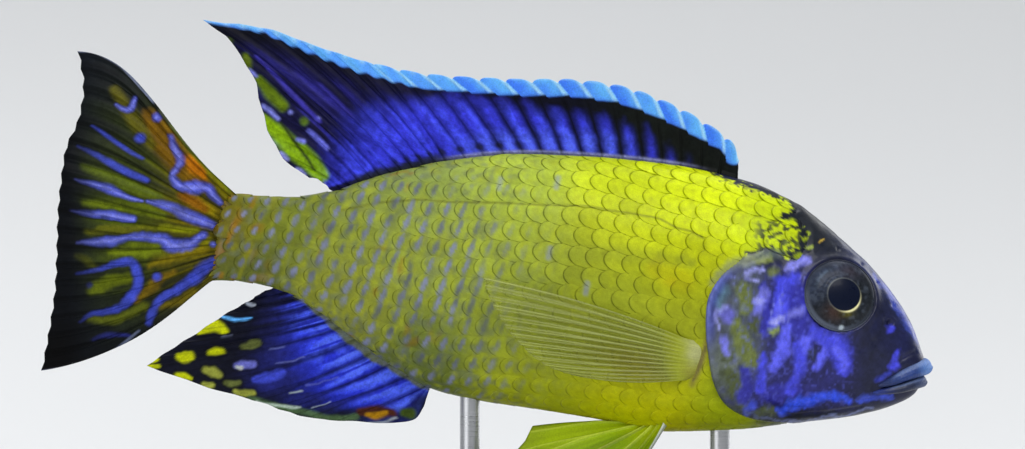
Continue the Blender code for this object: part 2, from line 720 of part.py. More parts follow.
def stand_base(collection, material):
    """A flat plate with round corners and a softened top edge."""
    length, width, height = BASE_SIZE
    shape = bmesh.new()
    bmesh.ops.create_cube(shape, size=1.0)
    shape.transform(
        Matrix.Translation((BASE_CENTRE_X * MM, 0.0, height / 2 * MM))
        @ Matrix.Diagonal((length * MM, width * MM, height * MM, 1.0))
    )
    upright = [e for e in shape.edges if abs(e.verts[0].co.z - e.verts[1].co.z) > 0.5 * height * MM]
    bmesh.ops.bevel(shape, geom=upright, offset=BASE_CORNER * MM, segments=5, profile=0.5, affect="EDGES")
    top = [e for e in shape.edges if all(v.co.z > 0.99 * height * MM for v in e.verts)]
    bmesh.ops.bevel(shape, geom=top, offset=BASE_EDGE * MM, segments=2, profile=0.5, affect="EDGES")
    return object_from_bmesh("stand_base", shape, collection, material)


def stand_rod(name, x, clearance, collection, material):
    """A turned rod with a foot flange, whose top end is cut to the belly it carries."""
    bottom = BASE_SIZE[2] + GAP / MM
    top = smooth(BELLY_EDGE, x) + ROD_SINK
    foot_top = bottom + FOOT_HEIGHT
    profile = [
        (0.0, top), (ROD_RADIUS, top), (ROD_RADIUS, foot_top + FILLET[1]), (ROD_RADIUS + FILLET[0], foot_top),
        (FOOT_RADIUS - FOOT_EDGE, foot_top), (FOOT_RADIUS, foot_top - FOOT_EDGE), (FOOT_RADIUS, bottom),
        (0.0, bottom),
    ]
    mesh = bpy.data.meshes.new(name)
    points = [(r * MM, 0.0, z * MM) for r, z in profile]
    mesh.from_pydata(points, [(i, i + 1) for i in range(len(points) - 1)], [])
    turned = link_object(name + "_profile", mesh, collection)
    turn = turned.modifiers.new("Turn", "SCREW")
    turn.steps = 20
    turn.render_steps = 20
    turn.use_merge_vertices = True
    turn.merge_threshold = 0.00001
    turned.location.x = x * MM
    bpy.context.view_layer.update()
    made = as_mesh(turned, name, collection, material)
    boolean(made, "DIFFERENCE", clearance)
    keep_largest(made)


def main():
    for old in list(bpy.data.objects):
        bpy.data.objects.remove(old)
    fish = bpy.data.collections.new("peacock_cichlid")
    cutters = bpy.data.collections.new("cutters")
    for collection in (fish, cutters):
        bpy.context.scene.collection.children.link(collection)
    materials = {
        "head": make_material("head_skin", BLUE, 0.4),
        "trunk": make_material("body_skin", YELLOW, 0.4),
        "fin": make_material("fin_membrane", BLUE, 0.45),
        "clear_fin": make_material("pectoral_membrane", OLIVE, 0.4),
        "pelvic": make_material("pelvic_membrane", YELLOW, 0.4),
        "eye": make_material("eye", DARK_EYE, 0.1),
        "base": make_material("stand_base", DARK_WOOD, 0.35),
        "rod": make_material("stand_rod", STEEL, 0.3, 1.0),
    }
    make_body(fish, cutters, materials)
    clearance = object_from_bmesh("body_clearance", body_shape(GAP / MM), cutters)
    hide(clearance)
    median_fin("dorsal_fin", DORSAL, 6, clearance, fish, materials["fin"])
    median_fin("anal_fin", ANAL, 6, clearance, fish, materials["fin"])
    median_fin("tail_fin", TAIL, 8, clearance, fish, materials["fin"])
    pectoral = pectoral_fin("pectoral_fin_left", clearance, fish, materials["clear_fin"])
    mirror_image(pectoral, "pectoral_fin_right")
    pelvic = pelvic_fin("pelvic_fin_left", clearance, fish, materials["pelvic"])
    mirror_image(pelvic, "pelvic_fin_right")
    stand_base(fish, materials["base"])
    for word, x in zip(("front", "rear"), ROD_X):
        stand_rod("stand_rod_" + word, x, clearance, fish, materials["rod"])
    for node in fish.objects:
        node.data.shade_smooth()
        node.data.set_sharp_from_angle(angle=math.radians(SHARP_EDGE_DEG))


main()
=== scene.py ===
"""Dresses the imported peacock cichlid: skin, scales, eyes, rayed fins, stand, studio light and camera.

Metres, +Z up, head towards +X, left flank +Y. Shapes are given in millimetres. Markings are given in pixels
of the reference photograph (px), where px 486.5 is x = 0, px row 600 is the floor and a pixel is 0.15 mm.
"""

import itertools
import math

import bmesh
import bpy
import numpy as np
from mathutils import Matrix, Vector


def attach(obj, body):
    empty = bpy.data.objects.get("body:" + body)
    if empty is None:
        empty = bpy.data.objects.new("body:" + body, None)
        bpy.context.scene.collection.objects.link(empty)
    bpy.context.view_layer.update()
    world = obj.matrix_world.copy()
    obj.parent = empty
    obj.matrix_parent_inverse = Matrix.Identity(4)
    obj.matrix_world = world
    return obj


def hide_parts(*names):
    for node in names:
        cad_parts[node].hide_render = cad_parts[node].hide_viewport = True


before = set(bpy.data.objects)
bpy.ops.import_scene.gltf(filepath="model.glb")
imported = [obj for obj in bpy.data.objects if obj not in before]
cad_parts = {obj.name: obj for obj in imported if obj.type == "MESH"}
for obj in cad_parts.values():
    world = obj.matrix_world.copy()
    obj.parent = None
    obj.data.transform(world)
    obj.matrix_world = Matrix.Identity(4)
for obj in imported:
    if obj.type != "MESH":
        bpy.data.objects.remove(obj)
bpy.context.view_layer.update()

MM = 0.001
PX = 0.15
PX_AT_X0 = 486.5
PX_AT_FLOOR = 600.0
SEED = 7
SIDES = ((1, "left"), (-1, "right"))
LINE_TIE = 1e-7
# Constants of the hash that the noise is made from.
HASH_SEED, HASH_START, HASH_CELL, HASH_STEP = 144665, 7919, 374761393, 1013904223
HASH_MIX, HASH_LAST_MIX, HASH_MASK = 1664525, 2246822519, 0xFFFFFFFF

# The body in side view: (x, height) along the back and the belly, and (x, half width) from above.
BACK_EDGE = [
    (65.9, 34.3), (65.6, 36.0), (64.9, 38.2), (63.4, 42.0), (60.2, 46.9), (55.9, 51.7), (50.5, 56.5),
    (45.1, 60.5), (38.2, 63.3), (28.3, 65.4), (16.1, 66.7), (3.8, 67.1), (-6.7, 66.0), (-17.5, 63.5),
    (-23.5, 61.6), (-28.7, 60.8), (-33.7, 60.8), (-38.5, 61.2), (-40.6, 60.9),
]
BELLY_EDGE = [
    (65.9, 34.1), (65.2, 32.3), (64.1, 30.8), (61.4, 29.4), (58.0, 28.3), (52.9, 27.3), (45.5, 26.4),
    (38.2, 25.5), (27.2, 25.1), (16.6, 27.0), (8.8, 28.3), (-2.3, 30.0), (-7.7, 31.4), (-14.0, 35.0),
    (-19.0, 38.6), (-23.9, 42.4), (-28.7, 45.4), (-33.7, 47.1), (-38.5, 47.7), (-40.6, 47.6),
]
HALF_WIDTH = [
    (65.9, 0.0), (65.5, 1.5), (64.4, 2.8), (62.0, 4.0), (58.0, 5.4), (53.0, 6.9), (47.0, 8.2),
    (40.0, 9.1), (32.6, 9.5), (22.0, 9.6), (10.0, 9.2), (-2.0, 8.1), (-12.0, 6.5), (-22.0, 4.7),
    (-31.0, 3.3), (-36.0, 2.5), (-39.2, 1.6), (-40.6, 0.9),
]
SNOUT_X = 65.9
NECK_X = 33.0
TAIL_ROOT_X = -40.6
TAIL_ROOT_LEAN = 0.13
BACK_FULLNESS = 0.98
BELLY_FULLNESS = 0.90

GILL_EDGE = [
    (38.8, 57.8), (39.0, 54.5), (38.2, 51.6), (35.0, 48.8), (33.0, 45.4), (32.6, 41.4), (32.9, 37.4),
    (33.7, 32.9), (35.4, 29.6), (38.4, 27.7), (41.8, 26.9), (46.5, 26.4),
]
CHEEK_EDGE = [
    (40.6, 52.1), (42.3, 50.2), (41.6, 46.8), (40.2, 40.8), (39.9, 34.4), (41.2, 30.6), (44.2, 28.4),
]
GILL_TOP_Z = 53
NAPE_REAR_X, NAPE_LOW_Z = 34, 48
CHEST_FRONT_X, CHEST_TOP_Z, THROAT_TOP_Z = 38.5, 52, 40
EYE_X, EYE_Z = 53.05, 45.7
EYE_SHIFT = 0.28
EYE_STRETCH = 1.05
NOSTRIL_X, NOSTRIL_Z = 60.3, 41.6


def smooth(table, x):
    """The value at x of a smooth curve through the table's points, which never overshoots them."""
    points = np.array(sorted(table), float)
    xs, ys = points[:, 0], points[:, 1]
    steps = np.diff(xs)
    slopes = np.diff(ys) / steps
    tangents = np.concatenate([slopes[:1], np.zeros(len(xs) - 2), slopes[-1:]])
    product = slopes[:-1] * slopes[1:]
    total = np.where(product > 0, slopes[:-1] + slopes[1:], 1.0)
    tangents[1:-1] = np.where(product > 0, 2 * product / total, 0.0)
    x = np.clip(x, xs[0], xs[-1])
    i = np.clip(np.searchsorted(xs, x, side="right") - 1, 0, len(steps) - 1)
    h = steps[i]
    t = (x - xs[i]) / h
    keep_y = (1 + 2 * t) * (1 - t) ** 2 * ys[i] + t * t * (3 - 2 * t) * ys[i + 1]
    return keep_y + t * (1 - t) ** 2 * h * tangents[i] - t * t * (1 - t) * h * tangents[i + 1]


def along_line(points, share):
    """The points at these shares, 0 to 1, of the length of a smooth line through the points."""
    spots = np.array(points, float)
    lengths = np.concatenate([[0.0], np.cumsum(np.linalg.norm(np.diff(spots, axis=0), axis=1))])
    at = np.clip(share, 0.0, 1.0) * lengths[-1]
    i = np.clip(np.searchsorted(lengths, at, side="right") - 1, 0, len(spots) - 2)
    t = ((at - lengths[i]) / (lengths[i + 1] - lengths[i]))[..., None]
    padded = np.concatenate([[2 * spots[0] - spots[1]], spots, [2 * spots[-1] - spots[-2]]])
    before, a, b, after = (padded[i + k] for k in range(4))
    return (
        a * (1 + 2 * t) * (1 - t) ** 2 + b * t * t * (3 - 2 * t)
        + (b - before) / 2 * t * (1 - t) ** 2 - (after - a) / 2 * t * t * (1 - t)
    )


def rounded(points, count=56):
    """A smooth line through the points, as this many of its own."""
    return along_line(points, np.linspace(0.0, 1.0, count))


def near_line(place, line):
    """Distance of each (x, z) to a line of straight runs, positive on its left, and the share along it."""
    x, z = place
    points = np.array(line, float)
    lengths = np.concatenate([[0.0], np.cumsum(np.linalg.norm(np.diff(points, axis=0), axis=1))])
    best = np.full(np.shape(x), 1e9)
    best_across = np.zeros(np.shape(x))
    share = np.zeros(np.shape(x))
    side = np.ones(np.shape(x))
    for k, (a, b) in enumerate(zip(points, points[1:])):
        run = b - a
        t = np.clip(((x - a[0]) * run[0] + (z - a[1]) * run[1]) / (run @ run), 0.0, 1.0)
        dx, dz = x - a[0] - t * run[0], z - a[1] - t * run[1]
        distance = np.hypot(dx, dz)
        turned = run[0] * dz - run[1] * dx
        across = np.abs(turned) / math.sqrt(run @ run)
        closer = (distance < best - LINE_TIE) | ((distance < best + LINE_TIE) & (across > best_across))
        best = np.where(closer, distance, best)
        best_across = np.where(closer, across, best_across)
        share = np.where(closer, (lengths[k] + t * (lengths[k + 1] - lengths[k])) / lengths[-1], share)
        side = np.where(closer, np.where(turned >= 0, 1.0, -1.0), side)
    return best * side, share


def ramp(low, high, value):
    """0 at low, 1 at high, with soft ends. low may be the larger."""
    t = np.clip((value - low) / (high - low), 0.0, 1.0)
    return t * t * (3 - 2 * t)


def bell(value, width):
    """1 at 0, falling to about a third at this width."""
    return np.exp(-(value / width) ** 2)


def noise(points, size, seed=0):
    """Smooth noise from -1 to 1 at points of any shape (..., n); size is the width of its lumps."""
    cell = points / size
    low = np.floor(cell).astype(np.int64)
    t = cell - low
    t = t * t * (3 - 2 * t)
    total = np.zeros(cell.shape[:-1])
    for corner in itertools.product((0, 1), repeat=cell.shape[-1]):
        code = np.full(cell.shape[:-1], (seed + SEED) * HASH_SEED + HASH_START, np.int64)
        weight = np.ones(cell.shape[:-1])
        for axis, step in enumerate(corner):
            code = (code * HASH_MIX + (low[..., axis] + step) * HASH_CELL + HASH_STEP) & HASH_MASK
            code ^= code >> 15
            weight = weight * (t[..., axis] if step else 1 - t[..., axis])
        code = (code * HASH_LAST_MIX) & HASH_MASK
        code ^= code >> 13
        total += weight * ((code & 0xFFFF) / 32767.5 - 1.0)
    return total


def noises(points, *layers):
    """The sum of noises, each given as its strength, size and seed."""
    return sum(strength * noise(points, size, seed) for strength, size, seed in layers)


GILL_LINE = rounded(GILL_EDGE)


def signed_power(value, power):
    return np.sign(value) * np.abs(value) ** power


def section_sizes(x):
    """Mid height of the body at x, its height above and below that, and its half width."""
    back, belly = smooth(BACK_EDGE, x), smooth(BELLY_EDGE, x)
    level = (back + belly) / 2
    return level, back - level, level - belly, smooth(HALF_WIDTH, x)


def skin_point(x, angle):
    """The body's skin, in mm. Angle 0 is the back, pi the belly, and the +Y side lies between."""
    level, above, below, half = section_sizes(x)
    upper = np.cos(angle) > 0
    fullness = np.where(upper, BACK_FULLNESS, BELLY_FULLNESS)
    height = np.where(upper, above, below)
    y = half * signed_power(np.sin(angle), fullness)
    z = level + height * signed_power(np.cos(angle), fullness)
    return np.stack([x + 0 * angle, y, z], axis=-1)


def leaned(points):
    """Gives the tail root the slant that it has in side view."""
    x, z = side_view(points)
    reach = np.clip((NECK_X - x) / (NECK_X - TAIL_ROOT_X), 0.0, 1.0)
    moved = points.copy()
    moved[..., 0] += TAIL_ROOT_LEAN * (z - section_sizes(x)[0]) * reach ** 4
    return moved


def skin_angle(x, z):
    """The angle round the body at which its skin has this height."""
    level, above, below, _ = section_sizes(x)
    upper = z > level
    share = (z - level) / np.where(upper, above, below)
    fullness = np.where(upper, BACK_FULLNESS, BELLY_FULLNESS)
    return np.arccos(np.clip(signed_power(share, 1 / fullness), -1.0, 1.0))


def skin_frame(x, z):
    """The skin's points at (x, z) on the +Y side, in mm, and their outward normals."""
    x, z = np.broadcast_arrays(np.asarray(x, float), np.asarray(z, float))
    angle = skin_angle(x, z)
    step, turn = 0.2, 0.02
    forward = skin_point(x + step, skin_angle(x + step, z)) - skin_point(x - step, skin_angle(x - step, z))
    around = skin_point(x, angle + turn) - skin_point(x, angle - turn)
    normal = unit(np.cross(forward, around))
    return skin_point(x, angle), normal * np.where(normal[..., 1:2] < 0, -1.0, 1.0)


# Painting


def side_view(points):
    """The points' x and height."""
    return points[..., 0], points[..., 2]


def to_px(points):
    """The points' column and row in the photo."""
    x, z = side_view(points)
    return x / PX + PX_AT_X0, PX_AT_FLOOR - z / PX


def linear(colour):
    """An 8-bit display colour as linear values."""
    share = np.array(colour, float) / 255
    return np.where(share <= 0.04045, share / 12.92, ((share + 0.055) / 1.055) ** 2.4)


def ground(colour, points):
    """One colour for all points."""
    return np.broadcast_to(linear(colour), points.shape)


def lay(paint, colour, mask):
    """Paint with this colour laid over it where the mask is 1."""
    return paint + (linear(colour) - paint) * np.asarray(mask)[..., None]


def layered(paint, *layers):
    """Paint with layers laid over it in turn, each a colour and its mask."""
    for colour, mask in layers:
        paint = lay(paint, colour, mask)
    return paint


def blend(paint, other, share):
    """Paint, and the other paint where the share is 1."""
    return paint * (1 - share[..., None]) + other * share[..., None]


def area(here, place):
    """1 in an area of the photo, faded by the (from, to) pairs in the place's px and py."""
    share = 1.0
    for axis, values in zip(("px", "py"), here):
        for start, end in place.get(axis, ()):
            share = share * ramp(start, end, values)
    return share


def tinted(paint, here, tints, strengths):
    """Paint with tints laid over their areas in the photo, in the order of the strengths."""
    for name, strength in strengths.items():
        paint = lay(paint, tints[name]["colour"], strength * area(here, tints[name]))
    return paint


def stroke(here, path, width, soft=1.6):
    """1 inside a brush stroke along a path in photo pixels. width is one number, or one for each point."""
    px, py = here
    widths = np.atleast_1d(width).astype(float)
    reach = widths.max() + 2 * soft
    corners = np.array(path, float)
    (left, top), (right, bottom) = corners.min(axis=0) - reach, corners.max(axis=0) + reach
    near = (px > left) & (px < right) & (py > top) & (py < bottom)
    if len(path) == 1:
        distance, share = np.hypot(px[near] - path[0][0], py[near] - path[0][1]), 0.0
    else:
        line = path if len(path) == 2 else rounded(path, 4 * len(path))
        distance, share = near_line((px[near], py[near]), line)
    wide = np.interp(share, np.linspace(0, 1, len(widths)), widths)
    edge = 0.6 * soft + 0.16 * wide
    mask = np.zeros(px.shape)
    mask[near] = ramp(wide / 2 + edge, wide / 2 - edge, np.abs(distance))
    return mask


def add_marks(paint, here, marks, soft=1.6, strength=1.0):
    """Paint with strokes laid over it. A mark is its colour, width and path."""
    for colour, width, path in marks:
        paint = lay(paint, colour, strength * stroke(here, path, width, soft))
    return paint


def marks_under(marks, colour, scale, extra=0.0):
    """The same strokes in one colour, their widths times scale and wider by extra."""
    return [(colour, scale * np.asarray(width) + extra, path) for _, width, path in marks]


def grained(paint, points, strength):
    """Paint with the fine uneven grain of living skin."""
    return paint * (1 + strength * noises(points, (0.55, 0.32, 19), (0.45, 0.8, 20)))[..., None]


VIOLET, BRIGHT_VIOLET, DEEP_VIOLET = (70, 74, 226), (96, 100, 250), (48, 48, 160)
LILAC, PALE_LILAC = (120, 122, 228), (158, 162, 238)
OLIVE, MOSS = (108, 120, 56), (78, 88, 46)

# The head's markings: (colour, width, path), drawn in this order.
HEAD_MARKS = [
    (OLIVE, 13, [(741, 290), (745, 306)]),
    (OLIVE, [14, 18, 16], [(734, 322), (741, 338), (749, 360)]),
    (MOSS, 12, [(753, 324), (760, 329)]),
    (OLIVE, 11, [(772, 273)]),
    (MOSS, [10, 14, 12], [(727, 372), (735, 390), (742, 404)]),
    (MOSS, 9, [(757, 412), (771, 409)]),
    (DEEP_VIOLET, [14, 18, 14], [(764, 392), (780, 393), (796, 388)]),
    (DEEP_VIOLET, [14, 24, 26, 20], [(786, 284), (797, 300), (797, 318), (806, 332)]),
    (DEEP_VIOLET, 12, [(744, 371), (747, 386), (741, 398)]),
    (DEEP_VIOLET, [8, 12, 10], [(762, 288), (766, 306), (764, 330)]),
    (VIOLET, [10, 14, 15, 10], [(779, 283), (780, 300), (779, 313), (771, 323)]),
    (BRIGHT_VIOLET, [6, 8], [(781, 296), (778, 312)]),
    (BRIGHT_VIOLET, [10, 13, 12, 7], [(785, 328), (783, 342), (780, 353), (771, 367)]),
    (VIOLET, [7, 10, 9], [(763, 355), (761, 370), (759, 388)]),
    (VIOLET, [10, 13, 12, 8], [(797, 344), (798, 360), (794, 380), (789, 392)]),
    (BRIGHT_VIOLET, 9, [(804, 338), (804, 350)]),
    (BRIGHT_VIOLET, [6, 9, 6], [(823, 348), (822, 356), (815, 367)]),
    (VIOLET, [9, 15, 22, 20, 10], [(810, 331), (823, 338), (835, 345), (840, 357), (843, 370)]),
    (BRIGHT_VIOLET, [7, 9, 6], [(834, 350), (841, 358), (843, 367)]),
    ((52, 84, 240), [7, 12, 12, 10, 6], [(779, 411), (796, 404), (818, 397), (838, 396), (846, 401)]),
    ((58, 80, 204), [5, 8, 7, 5], [(856, 401), (868, 397), (880, 396), (892, 396)]),
    ((64, 82, 220), 8, [(745, 411), (751, 404)]),
    (VIOLET, 9, [(889, 328)]),
    (VIOLET, 8, [(896, 355), (892, 366)]),
    ((52, 62, 170), 6, [(877, 379), (887, 373)]),
    # Blue along the forehead's profile: painted sheen.
    ((58, 74, 170), [5, 9, 8, 5], [(874, 276), (888, 293), (905, 320), (922, 346)]),
    (LILAC, [5, 8, 7], [(785, 271), (794, 266), (804, 260)]),
    (VIOLET, 10, [(795, 277), (784, 282)]),
    (PALE_LILAC, 5, [(746, 272), (753, 269), (761, 270)]),
    (PALE_LILAC, 3, [(744, 277), (755, 281)]),
    (LILAC, [9, 11, 8], [(763, 293), (758, 302), (756, 310)]),
    (PALE_LILAC, 4, [(755, 301), (760, 303)]),
    (LILAC, [6, 8, 5], [(787, 314), (795, 312), (803, 308)]),
    (PALE_LILAC, 6, [(772, 322), (779, 317)]),
    ((104, 104, 200), 13, [(721, 310), (727, 318)]),
    (PALE_LILAC, [5, 4, 4, 3], [(722, 306), (715, 310), (713, 319), (718, 330)]),
    (LILAC, 6, [(722, 340), (726, 353)]),
    ((146, 166, 84), 5, [(771, 332), (775, 329)]),
    # Turquoise-green patch on the gill cover: painted sheen.
    ((88, 120, 142), 14, [(721, 291), (716, 301)]),
    ((44, 50, 66), 9, [(809, 353)]),
    # Thin pale line along the underside of the head: painted rim light.
    ((110, 122, 176), 2.2,
     [(745, 411), (757, 416), (775, 419.5), (796, 420.5), (820, 419), (842, 414), (872, 409)]),
    ((120, 128, 196), 2.2, [(709, 291), (715, 284), (724, 279), (733, 277)]),
]
NAPE_FLECKS = [
    ((20, 26, 34), [3, 5, 3], [(774, 216), (781, 217), (787, 214)]),
    ((60, 74, 50), [3, 4, 3], [(783, 232), (785, 240), (783, 248)]),
    ((44, 52, 60), [3, 4, 3], [(771, 238), (776, 242), (774, 250)]),
    ((140, 158, 28), 4.5, [(808, 233)]),
    ((150, 168, 26), 4, [(803, 240), (806, 238)]),
    ((140, 158, 30), 3.5, [(806, 249), (810, 247)]),
    ((150, 170, 26), 5, [(795, 257), (798, 254)]),
    ((190, 160, 60), 2.2, [(819, 242), (823, 240)]),
    ((120, 132, 60), [6, 9], [(752, 261), (768, 258)]),
    ((140, 150, 120), 3, [(744, 258), (754, 255), (762, 252)]),
    ((96, 108, 120), 6, [(740, 264), (752, 265)]),
]
NAPE_VEILS = [
    ((134, 142, 112), [5, 9, 10, 8], [(710, 283), (722, 271), (737, 262), (752, 257)]),
    ((92, 106, 104), [7, 9, 6], [(758, 257), (771, 253), (780, 256)]),
]
YELLOW_FRONT = [
    (560, 120), (700, 166), (724, 181), (745, 187), (762, 193), (780, 199), (789, 206), (787, 214),
    (778, 219), (787, 218), (796, 223), (801, 231), (799, 242), (793, 252), (783, 258), (776, 251),
    (770, 245), (760, 247), (750, 251), (738, 256), (728, 264), (719, 272), (712, 284), (705, 298),
]


HEAD_GROUND = (26, 30, 56)
# Tints of the head in the order of their use: colour, and soft edges of their areas in the photo.
HEAD_TINTS = dict(
    cheek=dict(colour=(48, 47, 132), px=[(872, 820)], py=[(256, 282), (420, 396)]),
    crown=dict(colour=(22, 28, 38), px=[(745, 775)], py=[(266, 240)]),
    cover_top=dict(colour=(84, 92, 96), px=[(776, 748)], py=[(258, 276), (400, 350)]),
    cover=dict(colour=(106, 116, 98), px=[(754, 736)], py=[(334, 356), (404, 372)]),
    cover_moss=dict(colour=(72, 82, 46), px=[(754, 736)], py=[(334, 356)]),
    cover_blue=dict(colour=(112, 120, 150), px=[(754, 736)], py=[(334, 356), (405, 385)]),
    snout=dict(colour=(34, 38, 92), px=[(850, 900)], py=[(290, 330)]),
    # Blue along the top of the forehead's profile: painted sheen.
    forehead_sheen=dict(colour=(44, 58, 116), px=[(815, 880)], py=[(365, 345)]),
    chin=dict(colour=(20, 26, 42), py=[(408, 417)]),
    sparkle=dict(colour=(108, 114, 250), px=[(862, 836), (720, 750)], py=[(262, 285), (416, 398)]),
    frost=dict(colour=(150, 158, 214), px=[(862, 836)], py=[(262, 285), (416, 398), (345, 320)]),
)
RIM_SHADE, RIM_BRIGHT, RIM_LOW = (58, 66, 152), (116, 128, 204), (92, 98, 104)


def warped_px(points, far, near):
    """Photo places of points, shaken a little, so that drawn marks get uneven edges."""
    px, py = to_px(points)
    px = px + noises(points, (far, 2.3, 1), (near, 0.9, 4), (0.6 * near, 0.4, 5))
    py = py + noises(points, (far, 2.3, 2), (near, 0.9, 6), (0.6 * near, 0.4, 7))
    return px, py


def head_paint(points):
    """The head's colours: dark navy with violet blotches, olive on the gill cover, a blue rim behind it,
    with painted sheen along the forehead's profile and on the gill cover, and a painted rim light along its
    underside.
    """
    x, z = side_view(points)
    here = warped_px(points, 2.0, 2.2)
    haze = 0.5 + 0.5 * noise(points, 1.6, 8)
    moss = noise(points, 0.9, 31) + 0.6 * ramp(360, 400, here[1])
    paint = tinted(ground(HEAD_GROUND, points), here, HEAD_TINTS, dict(
        cheek=0.25 + 0.5 * haze,
        crown=1.0,
        cover_top=0.85,
        cover=0.8,
        cover_moss=0.75 * ramp(0.0, 0.5, moss),
        cover_blue=0.6 * ramp(0.15, 0.6, noise(points, 0.7, 32)),
        snout=0.6 * haze,
        # Painted sheen along the forehead's profile.
        forehead_sheen=0.75 * bell(smooth(BACK_EDGE, x) - z, 2.0),
        chin=1.0,
    ))
    paint = add_marks(paint, here, HEAD_MARKS, soft=2.5, strength=0.95)
    sparkle = ramp(0.1, 0.7, noise(points, 0.42, 34))
    frost = ramp(0.2, 0.7, noise(points, 1.1, 35))
    paint = tinted(paint, here, HEAD_TINTS, dict(sparkle=0.24 * sparkle, frost=0.30 * sparkle * frost))
    rim, share = near_line((x, z), GILL_LINE)
    low = ramp(0.42, 0.58, share)
    high = 0.8 * (1 - low) * ramp(0.12, 0.3, share)
    paint = lay(paint, RIM_SHADE, high * ramp(1.7, 0.4, np.abs(rim - 0.4)))
    paint = lay(paint, RIM_BRIGHT, high * bell(rim - 0.4, 0.42) * (0.6 + 0.4 * haze))
    paint = lay(paint, RIM_LOW, 0.45 * low * ramp(1.0, 0.86, share) * ramp(2.4, 0.2, rim))
    paint = add_marks(paint, warped_px(points, 0.6, 1.2), NAPE_FLECKS, soft=0.8)
    return grained(paint, points, 0.45)


# Tones of the trunk's regions: px, py, reach and colour.
# Besides the fish's own colours they carry painted light and shade.
BODY_TONES = dict(
    shoulder=(700, 192, 62, (222, 238, 6)), nape=(770, 220, 34, (194, 216, 4)),
    back_front=(620, 176, 46, (208, 226, 18)), shoulder_low=(615, 224, 44, (196, 205, 26)),
    back_middle=(520, 180, 48, (182, 202, 66)), back_rear=(425, 178, 46, (142, 160, 78)),
    back_end=(345, 198, 40, (126, 138, 58)), stalk_top=(285, 212, 34, (112, 122, 34)),
    stalk_end=(232, 226, 26, (110, 102, 18)), stalk_low=(250, 266, 28, (92, 100, 38)),
    behind_gill=(690, 268, 36, (178, 184, 10)), pectoral_base=(688, 322, 34, (150, 158, 30)),
    flank_shade=(575, 256, 34, (144, 154, 42)), flank_front=(610, 310, 46, (152, 162, 38)),
    flank=(505, 245, 52, (164, 178, 60)), flank_low=(500, 312, 48, (146, 158, 50)),
    rear=(415, 248, 52, (150, 162, 56)), rear_low=(355, 300, 44, (140, 146, 46)),
    rear_belly=(420, 362, 44, (98, 112, 44)), belly=(530, 378, 46, (166, 174, 26)),
    breast=(640, 402, 52, (196, 197, 6)), throat=(726, 408, 32, (158, 174, 18)),
    under_gill=(772, 424, 16, (84, 92, 78)),
)
LATERAL_LINE = [
    (702, 238), (689, 231), (676, 228), (659, 219), (643, 216), (628, 213), (611, 211), (590, 207),
    (573, 206), (540, 205), (496, 203), (446, 202), (421, 200), (380, 203), (359, 207), (338, 211),
]
REAR_LINE = [(400, 250), (340, 247), (280, 243), (215, 240)]
BODY_TINTS = dict(
    dull=dict(colour=(104, 114, 88), px=[(600, 470)]),
    lively=dict(colour=(176, 184, 24), px=[(215, 300)]),
    orange=dict(colour=(150, 104, 18), px=[(470, 380)]),
    stalk_orange=dict(colour=(164, 106, 6), px=[(285, 235)]),
    stalk_yellow=dict(colour=(150, 150, 14), px=[(300, 240)]),
)
# Strokes on the flank: softness, strength, how much of it comes and goes in patches, and the mark.
BODY_STROKES = [
    (4.0, 0.40, 0.5, ((186, 160, 6), 22, [(656, 268), (682, 281)])),
    # Painted shadow to the right of the pectoral fin's root.
    (3.0, 0.65, 0.0, ((132, 116, 62), [5, 8, 6], [(706, 340), (700, 360), (691, 384)])),
    # Painted shadow of the fold at the pectoral fin's root.
    (1.8, 0.75, 0.0, ((98, 84, 62), [2, 4, 4, 2], [(704.5, 346), (700.5, 358), (697, 369), (692, 380)])),
    (4.0, 0.55, 0.4, ((134, 144, 42), [16, 17, 12], [(573, 255), (620, 254), (689, 262)])),
    (0.8, 0.60, 0.0, ((96, 98, 30), 2.0, LATERAL_LINE)),
    (0.8, 0.30, 0.0, ((96, 98, 30), 2.0, REAR_LINE)),
]
NAPE_FLECKED = dict(px=[(746, 762)], py=[(210, 228)])


def body_paint(points):
    """The trunk's ground colours with their painted light and shade, blended from the tones of its regions,
    with its lateral line and a painted shadow beside the pectoral fin's root.
    """
    here = to_px(points)
    total = np.zeros(points.shape)
    weights = np.full(points.shape[:-1], 1e-9)
    for tone_px, tone_py, reach, colour in BODY_TONES.values():
        weight = np.exp(-((here[0] - tone_px) ** 2 + (here[1] - tone_py) ** 2) / reach ** 2)
        total += weight[..., None] * linear(colour)
        weights += weight
    x, z = side_view(points)
    leaning = np.stack([x - 0.35 * z, points[..., 1], 0.5 * z], axis=-1)
    lively = ramp(0.0, 0.8, noise(leaning, 0.7, 15))
    paint = tinted(total / weights[..., None], here, BODY_TINTS, dict(
        dull=0.55 * ramp(-0.1, 0.6, noise(leaning, 0.65, 14)),
        lively=0.35 * lively,
        orange=0.6 * ramp(0.25, 0.8, noise(leaning, 0.8, 11)) * ramp(0.0, 0.5, noise(points, 5.0, 16)),
        stalk_orange=0.5 * ramp(0.0, 0.6, noise(leaning, 0.9, 12)),
        stalk_yellow=0.5 * ramp(0.1, 0.7, noise(leaning, 1.2, 17)),
    ))
    for soft, strength, patchy, mark in BODY_STROKES:
        paint = add_marks(paint, here, [mark], soft, strength * (1 - patchy + patchy * lively))
    return grained(paint, points, 0.22)


def in_yellow(points):
    """Distance into the trunk's yellow from its front border, in photo pixels, below 0 on the dark head."""
    return near_line(to_px(points), YELLOW_FRONT)[0]


